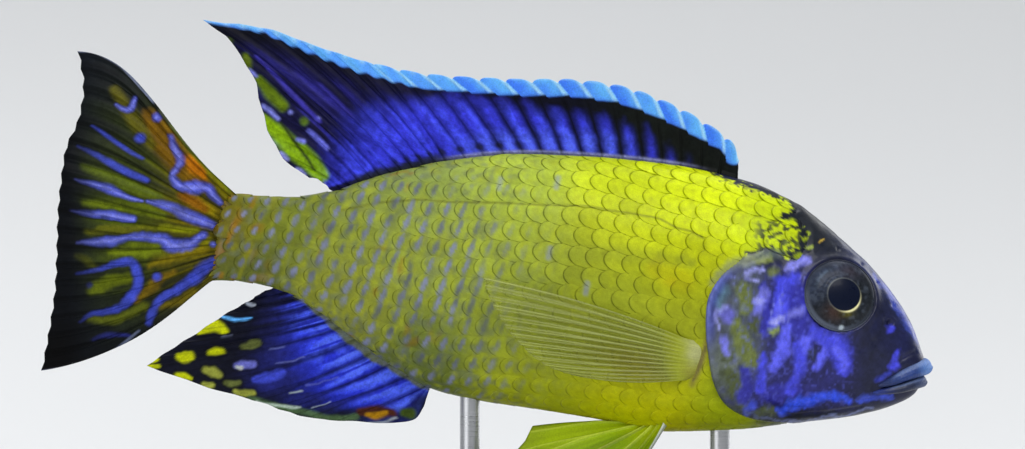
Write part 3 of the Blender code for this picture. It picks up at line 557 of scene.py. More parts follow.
def nape_share(points):
    """1 where the nape is yellow, 0 where it is dark, with a ragged and flecked border."""
    border = in_yellow(points)
    flecked = ramp(46, 14, border) * area(to_px(points), NAPE_FLECKED)
    gaps = flecked * ramp(-0.05, 0.3, noises(points, (1.0, 0.55, 29), (0.5, 1.3, 30)))
    ragged = border + noises(points, (3.5, 0.9, 21), (3.5, 0.4, 22))
    return ramp(-1.6, 1.6, ragged) * (1 - 0.88 * gaps)


def body_share(points, nape, edge):
    """1 behind the gill opening, by a soft edge, and where this share of the nape holds. 0 on the head."""
    x, z = side_view(points)
    rim, share = near_line((x, z), GILL_LINE)
    behind = ramp(*edge, rim) * (z < GILL_TOP_Z)
    above = nape * np.maximum(ramp(0.30, 0.16, share), x < NAPE_REAR_X) * (z > NAPE_LOW_Z)
    return np.clip(np.maximum(behind, above), 0.0, 1.0)


def head_and_body(points, body):
    """Head and body paint joined by a share, under the thin grey skin that blurs the nape's border."""
    paint = blend(head_paint(points), body_paint(points), body)
    strength = 0.6 + 0.25 * noise(points, 0.7, 33)
    return add_marks(paint, warped_px(points, 2.0, 1.5), NAPE_VEILS, soft=4.0, strength=strength)


def fish_paint(points):
    """Skin colours at any point of the body, in mm."""
    return head_and_body(points, body_share(points, nape_share(points), (0.1, -0.15)))


def coat_paint(points):
    """Scale colours: the body's, with the ragged border on the nape."""
    x, z = side_view(points)
    chest = (z < CHEST_TOP_Z) & ((x < CHEST_FRONT_X) | (z < THROAT_TOP_Z))
    return head_and_body(points, np.maximum(nape_share(points), chest))


# Meshes


def unit(vectors):
    """The vectors at a length of 1."""
    return vectors / (np.linalg.norm(vectors, axis=-1, keepdims=True) + 1e-12)


def grid_quads(rows, columns, closed=False, wrapped=False):
    """Quads over a grid of points. closed joins the last column to the first, wrapped the last row too."""
    row, column = np.indices((rows - (not wrapped), columns - (not closed)))
    down, across = (row + 1) % rows, (column + 1) % columns
    corners = [(row, column), (down, column), (down, across), (row, across)]
    return np.stack([r * columns + c for r, c in corners], axis=-1).reshape(-1, 4)


def border_ring(rows, columns):
    """The grid's outer points in order, round the same way as its quads."""
    index = np.arange(rows * columns).reshape(rows, columns)
    return np.concatenate([index[0], index[1:, -1], index[-1, -2::-1], index[-2:0:-1, 0]])


def closed_sheet(spots, thick):
    """Points and faces of a thin closed sheet, half its thickness either side of a grid of points."""
    rows, columns = spots.shape[:2]
    normal = unit(np.cross(np.gradient(spots, axis=0), np.gradient(spots, axis=1)))
    offset = normal * thick[..., None] / 2
    points = np.concatenate([(spots + offset).reshape(-1, 3), (spots - offset).reshape(-1, 3)])
    quads = grid_quads(rows, columns)
    back = rows * columns
    ring = border_ring(rows, columns)
    after = np.roll(ring, -1)
    rim = np.stack([ring, after, after + back, ring + back], axis=-1)
    return points, np.concatenate([quads, quads[:, ::-1] + back, rim]).tolist()


def closed_tube(grid, first, last):
    """Points and faces of a tube through rings of points, with one point more at each end."""
    rows, columns = grid.shape[:2]
    ring = np.arange(columns)
    after = np.roll(ring, -1)
    end = (rows - 1) * columns
    faces = grid_quads(rows, columns, closed=True).tolist()
    for tip, a, b in ((rows * columns, ring, after), (rows * columns + 1, end + after, end + ring)):
        faces += np.stack([np.full(columns, tip), a, b], axis=-1).tolist()
    return np.concatenate([grid.reshape(-1, 3), [first, last]]), faces


def add_piece(name, points, faces, material, slot, nodes=(), paint=None, alpha=None, uv=None):
    """Links a mesh, points in mm, as a piece of the model. nodes are those that it stands for."""
    points = np.asarray(points, float).reshape(-1, 3)
    mesh = bpy.data.meshes.new(name)
    mesh.from_pydata((points * MM).tolist(), [], faces)
    if paint is not None:
        colours = np.ones((len(points), 4))
        colours[:, :3] = np.clip(np.asarray(paint).reshape(-1, 3), 0.0, 1.0)
        if alpha is not None:
            colours[:, 3] = np.asarray(alpha).ravel()
        layer = mesh.color_attributes.new("paint", "FLOAT_COLOR", "POINT")
        layer.data.foreach_set("color", colours.ravel())
    if uv is not None:
        corners = np.empty(len(mesh.loops), np.int32)
        mesh.loops.foreach_get("vertex_index", corners)
        places = np.asarray(uv).reshape(-1, 2)[corners]
        mesh.uv_layers.new(name="OFBake").data.foreach_set("uv", places.ravel())
    mesh.shade_smooth()
    mesh.materials.append(material)
    piece = bpy.data.objects.new(name, mesh)
    bpy.context.scene.collection.objects.link(piece)
    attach(piece, "root")
    if nodes:
        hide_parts(*nodes)
    return piece


def add_sided(side, word, name, points, faces, *looks, node=None, **more):
    """Adds a piece of the left side, or its mirror image. node is the one that it stands for."""
    nodes = (f"{node}_{word}",) if node else ()
    turned = [face[::side] for face in faces]
    add_piece(f"{name}_{word}", points * np.array([1.0, side, 1.0]), turned, *looks, nodes, **more)


def add_pair(*piece, **more):
    """Adds a piece of the left side and its mirror image."""
    for side, word in SIDES:
        add_sided(side, word, *piece, **more)


# Materials


def node_tree(name):
    material = bpy.data.materials.new(name)
    material.use_nodes = True
    tree = material.node_tree
    return material, tree, tree.nodes["Principled BSDF"]


def object_noise(tree, scale, detail=3.0, roughness=0.55, stretch=(1.0, 1.0, 1.0)):
    """A noise value over the piece's own space; scale is lumps for each metre."""
    coordinates = tree.nodes.new("ShaderNodeTexCoord")
    mapping = tree.nodes.new("ShaderNodeMapping")
    mapping.inputs["Scale"].default_value = stretch
    texture = tree.nodes.new("ShaderNodeTexNoise")
    texture.inputs["Scale"].default_value = scale
    texture.inputs["Detail"].default_value = detail
    texture.inputs["Roughness"].default_value = roughness
    tree.links.new(coordinates.outputs["Object"], mapping.inputs["Vector"])
    tree.links.new(mapping.outputs["Vector"], texture.inputs["Vector"])
    return texture.outputs["Fac"]


def remapped(tree, value, low, high):
    """The middle half of a noise value, spread from low to high."""
    node = tree.nodes.new("ShaderNodeMapRange")
    for socket, limit in (("From Min", 0.25), ("From Max", 0.75), ("To Min", low), ("To Max", high)):
        node.inputs[socket].default_value = limit
    tree.links.new(value, node.inputs["Value"])
    return node.outputs["Result"]


def add_bump(tree, shader, value, depth_mm):
    bump = tree.nodes.new("ShaderNodeBump")
    bump.inputs["Strength"].default_value = 1.0
    bump.inputs["Distance"].default_value = depth_mm * MM
    tree.links.new(value, bump.inputs["Height"])
    tree.links.new(bump.outputs["Normal"], shader.inputs["Normal"])


def painted(name, roughness, grain, depth_mm, mottle=0.12, coat=0.1, specular=0.25, clear=False):
    """A moist surface coloured by the mesh's own paint, with fine speckle, bump and uneven gloss."""
    material, tree, shader = node_tree(name)
    paint = tree.nodes.new("ShaderNodeVertexColor")
    paint.layer_name = "paint"
    speckle = remapped(tree, object_noise(tree, grain), 1 - mottle, 1 + mottle)
    mixed = tree.nodes.new("ShaderNodeVectorMath")
    mixed.operation = "SCALE"
    tree.links.new(paint.outputs["Color"], mixed.inputs[0])
    tree.links.new(speckle, mixed.inputs["Scale"])
    tree.links.new(mixed.outputs["Vector"], shader.inputs["Base Color"])
    gloss = remapped(tree, object_noise(tree, grain / 6), roughness - 0.07, roughness + 0.09)
    tree.links.new(gloss, shader.inputs["Roughness"])
    add_bump(tree, shader, object_noise(tree, grain, detail=4.0), depth_mm)
    shader.inputs["Specular IOR Level"].default_value = specular
    shader.inputs["Coat Weight"].default_value = coat
    shader.inputs["Coat Roughness"].default_value = 0.12
    if clear:
        tree.links.new(paint.outputs["Alpha"], shader.inputs["Alpha"])
    return material


def grained_material(name, grain, colours, places, roughness):
    """A surface with two colours along its grain, the second from the higher place on, and uneven gloss."""
    material, tree, shader = node_tree(name)
    value = object_noise(tree, **grain)
    node = tree.nodes.new("ShaderNodeValToRGB")
    for stop, colour, place in zip(node.color_ramp.elements, colours, places):
        stop.position = place
        stop.color = (*colour, 1)
    tree.links.new(value, node.inputs["Fac"])
    tree.links.new(node.outputs["Color"], shader.inputs["Base Color"])
    tree.links.new(remapped(tree, value, *roughness), shader.inputs["Roughness"])
    return material, tree, shader, value


def wood_material():
    """Dark satin hardwood with long grain along the base."""
    grain = dict(scale=260.0, detail=6.0, stretch=(0.09, 1.0, 1.0))
    colours = ((0.018, 0.009, 0.005), (0.085, 0.042, 0.020))
    material, tree, shader, _ = grained_material("dark_hardwood", grain, colours, (0.32, 0.68), (0.30, 0.46))
    add_bump(tree, shader, object_noise(tree, 1400.0, stretch=(0.05, 1.0, 1.0)), 0.05)
    shader.inputs["Coat Weight"].default_value = 0.35
    shader.inputs["Coat Roughness"].default_value = 0.22
    return material


def steel_material():
    """Brushed steel, brushed around the rod."""
    grain = dict(scale=900.0, detail=4.0, stretch=(0.25, 0.25, 8.0))
    colours = ((0.40, 0.41, 0.43), (0.66, 0.67, 0.69))
    material, tree, shader, brushing = grained_material(
        "brushed_steel", grain, colours, (0.0, 1.0), (0.24, 0.40)
    )
    shader.inputs["Metallic"].default_value = 1.0
    add_bump(tree, shader, brushing, 0.02)
    return material


# The skin

SKIN_NODES = ("head", "lower_jaw", "gill_cover_left", "gill_cover_right", "trunk", "tail_stalk")
COAT_DEPTH = 0.34
COVER_PROUD = 0.5
GILL_STEP = 0.75
CHEEK_RISE = 0.10
NO_FADE = (-1.0, 0.0)
# Grooves of the head: depth, width, the shares of its length between which it fades in, and its line.
GROOVES = [
    (0.16, 0.35, (0.0, 0.15), CHEEK_EDGE),
    (0.16, 0.28, NO_FADE, [(57.5, 30.2), (53.0, 29.6), (47.0, 28.9), (41.8, 29.2)]),
    (0.16, 0.28, NO_FADE, [(56.0, 29.0), (51.0, 28.2), (46.0, 27.8), (42.8, 28.1)]),
    (0.22, 0.35, NO_FADE, [(57.6, 31.6), (59.6, 34.1), (62.2, 36.2), (64.4, 37.3)]),
    (0.80, 0.30, (1.0, 0.8), [(66.6, 34.0), (64.6, 33.0), (62.4, 32.1), (60.4, 31.7), (59.0, 31.5)]),
]
SENSORY_PORES = [
    (47.3, 40.2), (49.0, 38.4), (51.2, 37.3), (53.6, 37.0), (55.9, 37.6), (57.9, 38.8), (46.6, 43.0),
    (43.6, 33.6), (45.6, 31.2), (48.4, 30.2), (51.6, 30.0), (54.8, 30.6), (43.6, 36.6),
    (60.9, 44.2), (58.4, 47.6), (56.0, 50.3), (52.6, 52.6), (48.2, 52.6),
]
PORE_RADIUS, PORE_DEPTH = 0.28, 0.20
# Rings round a middle: height, the middle of the ring, and its width.
NOSTRIL_RINGS = [(0.14, 0.75, 0.28), (-0.55, 0.0, 0.45)]
PIT_RADIUS, PIT_DEPTH = 5.25, 2.6
ORBIT_RINGS = [(0.14, PIT_RADIUS + 0.45, 0.4), (-0.08, PIT_RADIUS + 1.5, 0.6)]
ORBIT_REACH, ORBIT_FAR = 3.4, 6.0
SKIN_COLUMNS = 256
SNOUT_RINGS, SNOUT_LENGTH = 26, 3.0
HEAD_STEP, HEAD_REAR_X = 0.16, 31.0
TRUNK_RINGS, TRUNK_GAP = 118, 0.5


def eye_axes():
    """The left eye's middle on the skin, and its forward, upward and outward directions."""
    middle, outward = skin_frame(EYE_X - EYE_SHIFT, EYE_Z)
    forward = unit(np.cross(outward, np.array([0.0, 0.0, -1.0])))
    forward = forward * np.sign(forward[0])
    upward = unit(np.cross(outward, forward))
    return middle, forward, upward * np.sign(upward[2]), outward


def scaled_share(points):
    """1 where scales cover the body, 0 on the bare head."""
    return body_share(points, ramp(-14.0, -2.0, in_yellow(points)), (0.05, -0.1))


def rings(distance, table):
    """Height of round swellings and hollows at this distance from their middle."""
    return sum(height * bell(distance - radius, width) for height, radius, width in table)


def skin_lift(points):
    """How far the skin stands off the plain body, in mm, at points of the left side."""
    place = x, z = side_view(points)
    scaled = scaled_share(points)
    rim, share = near_line(place, GILL_LINE)
    ends = ramp(0.06, 0.20, share) * ramp(0.99, 0.86, share)
    lift = ends * COVER_PROUD * ramp(8.0, 0.4, rim) * ramp(-0.05, 0.25, rim) - COAT_DEPTH * scaled
    lift -= ends * GILL_STEP * ramp(-2.2, -0.1, rim) * ramp(0.15, -0.05, rim)
    for depth, width, fade, line in GROOVES:
        away, along = near_line(place, line)
        lift -= depth * bell(away, width) * ramp(*fade, along)
    cheek, _ = near_line(place, CHEEK_EDGE)
    lift += CHEEK_RISE * ramp(0.0, 1.2, cheek) * bell(cheek, 3.0)
    lift += rings(np.hypot(x - NOSTRIL_X, z - NOSTRIL_Z), NOSTRIL_RINGS)
    for pore_x, pore_z in SENSORY_PORES:
        lift -= PORE_DEPTH * bell(np.hypot(x - pore_x, z - pore_z), PORE_RADIUS)
    return lift + (1 - scaled) * noises(points, (0.07, 3.2, 31), (0.03, 1.1, 32), (0.012, 0.5, 33))


def orbit_lift(points):
    """Flattens the head to the eye's plane round the eye, raises the orbit's rim and sinks the socket."""
    middle, forward, upward, outward = eye_axes()
    away = points - middle
    height = away @ outward
    radius = np.hypot(away @ forward / EYE_STRETCH, away @ upward)
    this_side = np.abs(height) < ORBIT_FAR
    near = this_side * ramp(PIT_RADIUS + ORBIT_REACH, PIT_RADIUS, radius)
    lift = np.clip(-height, -0.35, 0.4) * near + rings(radius, ORBIT_RINGS) * (near > 0)
    return lift - PIT_DEPTH * ramp(PIT_RADIUS + 0.1, PIT_RADIUS - 0.35, radius) * this_side


def skin_stations():
    """The x of each ring of the skin, from the snout to the tail's root."""
    snout = SNOUT_X - 0.02 - SNOUT_LENGTH * (1 - np.cos(np.linspace(0.0, math.pi / 2, SNOUT_RINGS)))
    head = np.arange(snout[-1] - HEAD_STEP, HEAD_REAR_X, -HEAD_STEP)
    trunk = np.linspace(head[-1] - TRUNK_GAP, TAIL_ROOT_X, TRUNK_RINGS)
    return np.concatenate([snout, head, trunk])


def skin_grid():
    """The body's skin as a grid of points, a ring for each station, in mm."""
    angles = np.linspace(0.0, 2 * math.pi, SKIN_COLUMNS, endpoint=False)
    plain = leaned(skin_point(skin_stations()[:, None], angles[None, :]))
    around = np.roll(plain, -1, axis=1) - np.roll(plain, 1, axis=1)
    normal = unit(np.cross(np.gradient(plain, axis=0), around))
    from_middle = plain - plain.mean(axis=1, keepdims=True)
    normal *= np.where((from_middle * normal).sum(-1, keepdims=True) < 0, -1, 1)
    left = plain.copy()
    left[..., 1] = np.abs(left[..., 1])
    return plain + normal * (skin_lift(left) + orbit_lift(left))[..., None]


def make_skin(material):
    grid = skin_grid()
    points, faces = closed_tube(grid, grid[0].mean(axis=0), grid[-1].mean(axis=0))
    faces = [face[::-1] for face in faces]
    add_piece("skin", points, faces, material, "body_skin", SKIN_NODES, fish_paint(points))


# The scales

SCALE_PITCH = 2.65
SCALE_ROWS, SCALE_STEPS = 12, 36
FULL_SPACING = 2.9
ROW_SPACING = [(-42.0, 2.3), (-25.0, 2.65), (-5.0, 2.9), (15.0, 2.95), (48.0, 2.9)]
ROW_SHIFT = 0.3
UPPER_ROW_DIP = [(-12.0, 0.0), (15.0, 0.3), (33.0, -2.0), (48.0, -3.6)]
SCALE_LENGTH = 4.7
SCALE_OVERHANG = 1.25
SCALE_RISE = 0.28
SCALE_BODY = 0.28
SIDE_DROP = 0.09
SCALE_ACROSS = 17
SCALE_ALONG = 13
COAT_FRONT_X = 47.0
COAT_REAR_X = -41.5
COAT_SPLIT_X = 8.0
FLANK_REACH = (-48.0, 50.0)
FLANK_TURNS = 361
TABLE_STEP = 0.5
# The map of the coat: the (x, length up) at its corner, its size, and the size of a scale's patch.
MAP_CORNER, MAP_SIZE, MAP_PATCH = (-50, -30), (110, 130), 0.0015

SPOT_DARK, SPOT_PALE, SPOT_RIM = (84, 90, 106), (136, 142, 184), (100, 108, 84)
SPOT_SETBACK = 0.75
SPOT_LEAN = 0.36
SPOT_HALF_WIDTH = 0.37
# A scale's own spot and those of its neighbours, as (rows up, steps forward).
SPOT_PLACES = [(0, -1), (0, 0), (0, 1), (1, 0), (1, -1), (-1, 0), (-1, 1)]
LONE_SPOT_PLACES = [(557, 183), (549, 253), (586, 288), (500, 184)]
LONE_SPOTS = [(SPOT_PALE, 5, [(x + 1, y - 5), (x - 1, y + 5)]) for x, y in LONE_SPOT_PLACES]
SPOTTED = dict(px=[(560, 440)], py=[(172, 186)])
# Areas of the scales' free rims: painted shade where each rim overlaps the next, and paler rims at the rear
# that are partly painted light against the relief's shadow and partly the real paleness of scale rims.
SHADED_RIMS = dict(px=[(470, 600)], py=[(330, 270)])
PALE_LIT_RIMS = dict(px=[(520, 420)])


class Flank:
    """The left side of the body as a flat map: x along it, and the length around it from mid height."""

    def __init__(self):
        self.stations = np.arange(FLANK_REACH[0], FLANK_REACH[1] + TABLE_STEP, TABLE_STEP)
        turns = np.linspace(0.0, math.pi, FLANK_TURNS)
        self.points = leaned(skin_point(self.stations[:, None], turns[None, :]))
        beyond = ramp(TAIL_ROOT_X - 5.5, TAIL_ROOT_X, self.stations)
        self.points[..., 1] *= (0.35 + 0.65 * beyond)[:, None]
        runs = np.linalg.norm(np.diff(self.points, axis=1), axis=-1)
        lengths = np.concatenate([np.zeros((len(self.stations), 1)), np.cumsum(runs, axis=1)], axis=1)
        self.up = lengths[:, FLANK_TURNS // 2, None] - lengths
        normals = unit(np.cross(np.gradient(self.points, axis=0), np.gradient(self.points, axis=1)))
        self.normals = normals * np.where(normals[..., 1:2] < 0, -1.0, 1.0)

    def limits(self, x):
        """How far down and up the side reaches at x."""
        return np.interp(x, self.stations, self.up[:, -1]), np.interp(x, self.stations, self.up[:, 0])

    def at(self, x, up):
        """Points and outward normals at x and this length up from the middle line."""
        place = np.clip((x - self.stations[0]) / TABLE_STEP, 0, len(self.stations) - 1.001)
        low = place.astype(int)
        part = (place - low)[..., None]
        found = []
        for table in (self.points, self.normals):
            near, far = (self.row_at(table, low + k, up) for k in (0, 1))
            found.append(near * (1 - part) + far * part)
        return found[0], unit(found[1])

    def row_at(self, table, row, up):
        """The table's values in these rows, at these lengths up."""
        flat_row, flat_up = row.ravel(), up.ravel()
        made = np.empty((flat_row.size, 3))
        for k in np.unique(flat_row):
            here = flat_row == k
            for axis in range(3):
                made[here, axis] = np.interp(-flat_up[here], -self.up[k], table[k, :, axis])
        return made.reshape(row.shape + (3,))


def scale_roots(flank, rng):
    """Roots of the scales in rows that follow the body: x, length up, and a random number for each."""
    roots = []
    for row in range(-SCALE_ROWS, SCALE_ROWS + 1):
        shift = (row * ROW_SHIFT) % 1.0
        for step in range(SCALE_STEPS):
            x = COAT_REAR_X + 2.0 + (step + shift) * SCALE_PITCH
            dip = float(smooth(UPPER_ROW_DIP, x)) * min(max(row / 4, 0.0), 1.2)
            up = (row + 0.5) * float(smooth(ROW_SPACING, x)) + dip
            bottom, top = flank.limits(x)
            if x <= COAT_FRONT_X and bottom + 0.2 < up < top - 0.2:
                roots.append((x + rng.normal(0, 0.07), up + rng.normal(0, 0.06), rng.normal(0, 1)))
    tips, _ = flank.at(*(np.array(roots).T[:2] - [[0.35 * SCALE_LENGTH], [0.0]]))
    return np.array(roots)[scaled_share(tips) > 0.9]


def scale_shape(flank, root_x, root_up, chance):
    """Every scale's points and normals, (scale, along, across), and their places on the flank's map."""
    across = np.linspace(-1.0, 1.0, SCALE_ACROSS)[None, None, :]
    along = np.linspace(0.0, 1.0, SCALE_ALONG)[None, :, None] ** 0.85
    spacing = smooth(ROW_SPACING, root_x)
    size = spacing / FULL_SPACING
    reach = SCALE_LENGTH * size * (0.52 + 0.48 * np.sqrt(1 - 0.93 * across ** 2))
    x = root_x + 0.55 * SCALE_LENGTH * size - reach * along
    half = 0.5 * SCALE_OVERHANG * spacing * (0.86 + 0.14 * np.sin(math.pi * along))
    up = root_up + half * across + 0.05 * chance * along
    x, up, along, across = np.broadcast_arrays(x, up, along, across)
    spot, normal = flank.at(x, up)
    relief = 0.26 + 0.74 * ramp(-22.0, 16.0, x) * ramp(38.0, 56.0, spot[..., 2])
    rise = SCALE_RISE * relief
    height = (rise + 0.02 * relief * chance) * along - rise - SIDE_DROP * across ** 2 * (0.3 + 0.7 * along)
    bottom, top = flank.limits(x)
    beyond = np.maximum(up - top, 0.0) + np.maximum(bottom - up, 0.0)
    ridge = ramp(1.7, 0.2, top - up) + ramp(1.7, 0.2, up - bottom)
    height += 0.03 * relief * np.sin(math.pi * np.clip(along * 1.2, 0, 1)) - np.minimum(0.8 * beyond, 1.5)
    height -= 0.2 * ridge * along
    return spot + normal * height[..., None], normal, (x, up, along, across)


def spot_distance(x, up, root_x, root_up):
    """Distance from the nearest lilac spot, 1 at its edge. A scale shows its own and its neighbours'."""
    spacing = smooth(ROW_SPACING, root_x)
    middle = ramp(-24.0, -12.0, x) * ramp(8.0, -1.0, x) * ramp(-10.0, -5.0, up) * ramp(12.0, 7.0, up)
    tall = 1.0 - 0.45 * ramp(-28.0, -38.0, x) + 0.3 * middle
    best = np.full(x.shape, 9.0)
    for row, step in SPOT_PLACES:
        spot_x = root_x - SPOT_SETBACK * spacing / FULL_SPACING + (step + row * ROW_SHIFT) * SCALE_PITCH
        rise = up - root_up - row * spacing
        lean = x - spot_x - SPOT_LEAN * rise
        best = np.minimum(best, np.hypot(lean / SPOT_HALF_WIDTH, rise / tall))
    return best


def scale_paint(points, spot, along, chance):
    """Colours of the scales. spot is the distance from the nearest lilac spot.
    The free rims get painted shade in front, and at the rear painted light that is partly their real
    paleness.
    """
    here = to_px(points)
    spot = spot + noises(points, (0.30, 0.45, 24), (0.22, 2.2, 25))
    strength = area(here, SPOTTED) * ramp(-0.9, -0.2, noise(points, 3.4, 26))
    paint = coat_paint(points) * (1 + 0.05 * chance[..., None])
    paint = lay(paint, SPOT_RIM, 0.45 * ramp(1.7, 0.9, spot) * strength)
    tone = lay(ground(SPOT_DARK, points), SPOT_PALE, ramp(-0.7, 0.7, noise(points, 2.4, 27)))
    paint = blend(paint, tone, 0.80 * ramp(1.35, 0.5, spot) * strength)
    paint = add_marks(paint, here, LONE_SPOTS, soft=2.0, strength=0.5)
    # Painted shade on the free rims in front; at the rear painted light, partly the rims' real paleness.
    edge = ramp(0.90, 0.985, along) * (0.26 * area(here, SHADED_RIMS) - 0.08 * area(here, PALE_LIT_RIMS))
    return paint * (1 - edge[..., None])


def with_under(values, last):
    """Each scale's values in one row, and after them the one for the point under the scale."""
    return np.concatenate([values.reshape(len(values), -1, values.shape[-1]), last[:, None]], axis=1)


def make_scales(material):
    """The coat in four pieces, front and rear of each side. A scale is a lid with a point under it."""
    flank = Flank()
    roots = scale_roots(flank, np.random.default_rng(SEED))
    root_x, root_up, chance = roots.T[..., None, None]
    points, normal, (x, up, along, across) = scale_shape(flank, root_x, root_up, chance)
    paint = scale_paint(points, spot_distance(x, up, root_x, root_up), along, chance)
    ring = border_ring(SCALE_ALONG, SCALE_ACROSS)
    count = SCALE_ALONG * SCALE_ACROSS
    under = np.stack([ring, np.roll(ring, -1), np.full(len(ring), count)], axis=-1)
    scale_faces = grid_quads(SCALE_ALONG, SCALE_ACROSS).tolist() + under.tolist()
    middle = (slice(None), SCALE_ALONG // 2, SCALE_ACROSS // 2)
    spots = with_under(points, points[middle] - normal[middle] * SCALE_BODY)
    paint = with_under(paint, paint[middle])
    for side, word in SIDES:
        place = (roots[:, :2] - MAP_CORNER) / MAP_SIZE
        place[:, 1] = 0.5 + side * place[:, 1]
        patch = place[:, None, None] + MAP_PATCH * np.stack([2 * along - 1, across], axis=-1)
        uv = with_under(patch, place)
        for part, chosen in (("front", roots[:, 0] > COAT_SPLIT_X), ("rear", roots[:, 0] <= COAT_SPLIT_X)):
            starts = range(0, chosen.sum() * (count + 1), count + 1)
            faces = [[start + i for i in face[::-side]] for start in starts for face in scale_faces]
            add_piece(f"scales_{part}_{word}", spots[chosen] * np.array([1.0, side, 1.0]), faces, material,
                      "body_skin", (), paint[chosen], uv=uv[chosen])


# The eyes

PUPIL_PLACE = (0.20, -0.10)
PUPIL_RADIUS = 2.42
EYE_RINGS, EYE_TURNS = 72, 144
DOME_RISE, DOME_SINK, DOME_RADIUS, EYE_BACK = 1.95, 0.50, 5.42, 1.9
EYE_RING_RADIUS, EYE_RING_SINK = 5.32, 0.06
IRIS, PUPIL, RING_DARK, RING_PALE = (34, 38, 44), (15, 22, 42), (38, 42, 58), (84, 92, 108)
# Blots of the iris: colour, strength, (up, width) and (forward, width).
IRIS_BLOTS = [
    ((64, 54, 56), 0.50, (3.6, 1.2), (1.4, 1.8)), ((74, 54, 46), 0.70, (-2.6, 1.3), (-1.2, 1.4)),
    ((88, 84, 24), 0.85, (-2.95, 0.5), (0.55, 0.95)),
]


def turn_bell(turn, middle, width):
    """1 at this angle round the eye, falling to both sides."""
    return bell((turn - middle + math.pi) % (2 * math.pi) - math.pi, width)


def eye_paint(forward, up):
    """Colours of the eye by its own forward and upward places, in mm. The iris is painted lighter to the
    upper rear, with a painted highlight arc there and a small painted highlight at the bottom.
    """
    spots = np.stack([forward, up, 0 * up], axis=-1)
    radius = np.hypot(forward, up)
    turn = np.arctan2(up, forward)
    pupil = np.hypot(forward - PUPIL_PLACE[0], up - PUPIL_PLACE[1]) - PUPIL_RADIUS
    fibres = noise(np.stack([turn * 6, radius * 0.8, 0 * up], axis=-1), 0.5, 41)
    # Painted light: the iris lighter towards the upper rear.
    paint = lay(ground(IRIS, spots), (52, 60, 80), 0.7 * ramp(-0.5, 3.5, up - 0.6 * forward))
    for colour, strength, (up_place, up_width), (forward_place, forward_width) in IRIS_BLOTS:
        blot = bell(up - up_place, up_width) * bell(forward - forward_place, forward_width)
        paint = lay(paint, colour, strength * blot)
    paint = lay(paint, (78, 86, 100), 0.35 * ramp(0.0, 0.8, noise(spots, 0.5, 42)))
    # A painted highlight arc on the iris, above and behind the pupil.
    paint = lay(paint, (88, 104, 124), 0.7 * bell(pupil - 1.83, 0.22) * bell(turn - 2.35, 0.38))
    paint = paint * (1 + 0.30 * fibres + 0.22 * noise(spots, 0.28, 43))[..., None]
    faint = 0.35 + 0.45 * bell(turn - 2.3, 0.9)
    paint = lay(paint, (108, 112, 112), faint * bell(pupil - 0.10, 0.10))
    low_front = turn_bell(turn, -0.95, 0.66)
    crescent = bell(pupil - 0.12, 0.10 + 0.10 * low_front) * low_front
    paint = lay(paint, (240, 234, 176), np.clip(1.5 * crescent, 0, 1))
    paint = lay(paint, PUPIL, ramp(0.06, -0.06, pupil))
    outer = ramp(4.55, 5.05, radius)
    paint = lay(paint, (46, 52, 66), 0.6 * outer)
    paint = lay(paint, (100, 108, 124), 0.8 * outer * turn_bell(turn, -2.2, 0.95))
    # A small painted highlight at the bottom of the eye.
    return lay(paint, (190, 204, 214), 0.9 * ramp(0.55, 0.15, np.hypot(forward + 0.2, up + 4.95)))


def eye_spots(a, b, height):
    """Points at these forward, upward and outward places from the left eye's middle."""
    middle, forward, upward, outward = eye_axes()
    across = EYE_STRETCH * a[..., None] * forward + b[..., None] * upward
    return middle + across + height[..., None] * outward


def round_turns(count):
    """Angles of this many equal steps round a circle."""
    return np.linspace(0.0, 2 * math.pi, count, endpoint=False)


def eyeball_mesh():
    """Points, faces and paint of a dome with a small bulge over the pupil, closed behind."""
    radius = (PIT_RADIUS + 0.06) * np.linspace(0.0, 1.0, EYE_RINGS)[1:, None]
    turn = round_turns(EYE_TURNS)[None, :]
    a, b = radius * np.cos(turn), radius * np.sin(turn)
    pupil = np.hypot(a - PUPIL_PLACE[0], b - PUPIL_PLACE[1])
    height = DOME_RISE * np.sqrt(np.clip(1 - (radius / DOME_RADIUS) ** 2, 0, 1)) - DOME_SINK + 0 * turn
    height += 0.12 * np.sqrt(np.clip(1 - (pupil / 2.9) ** 2, 0, 1)) - 0.04 * bell(pupil - 3.1, 0.25)
    front = eye_spots(a, b, height)
    middle, _, _, outward = eye_axes()
    points, faces = closed_tube(front, front[0].mean(axis=0), middle - EYE_BACK * outward)
    paint = np.concatenate([eye_paint(a, b).reshape(-1, 3), eye_paint(np.zeros(2), np.zeros(2))])
    return points, [face[::-1] for face in faces], paint


def eye_ring_mesh():
    """Points, faces and paint of a thin soft rim round the eye, paler below."""
    about, tube_turn = round_turns(200)[:, None], round_turns(20)[None, :]
    thick = 0.13 + 0.02 * np.sin(about - 2.0)
    radius = EYE_RING_RADIUS + thick * np.cos(tube_turn)
    height = thick * np.sin(tube_turn) - EYE_RING_SINK
    spots = eye_spots(radius * np.cos(about), radius * np.sin(about), height)
    faces = grid_quads(*spots.shape[:2], closed=True, wrapped=True).tolist()
    low = ramp(0.3, -0.9, np.sin(about + 0.5) + 0 * tube_turn)
    paint = lay(ground(RING_DARK, spots), RING_PALE, 0.8 * low)
    return spots.reshape(-1, 3), faces, paint


def make_eyes(material, ring_material):
    points, faces, paint = eyeball_mesh()
    ring, ring_faces, ring_paint = eye_ring_mesh()
    for side, word in SIDES:
        add_sided(side, word, "eyeball", points, faces, material, "eye", node="eye", paint=paint)
        add_sided(side, word, "eye_ring", ring, ring_faces, ring_material, "head_skin", paint=ring_paint)


# The lips

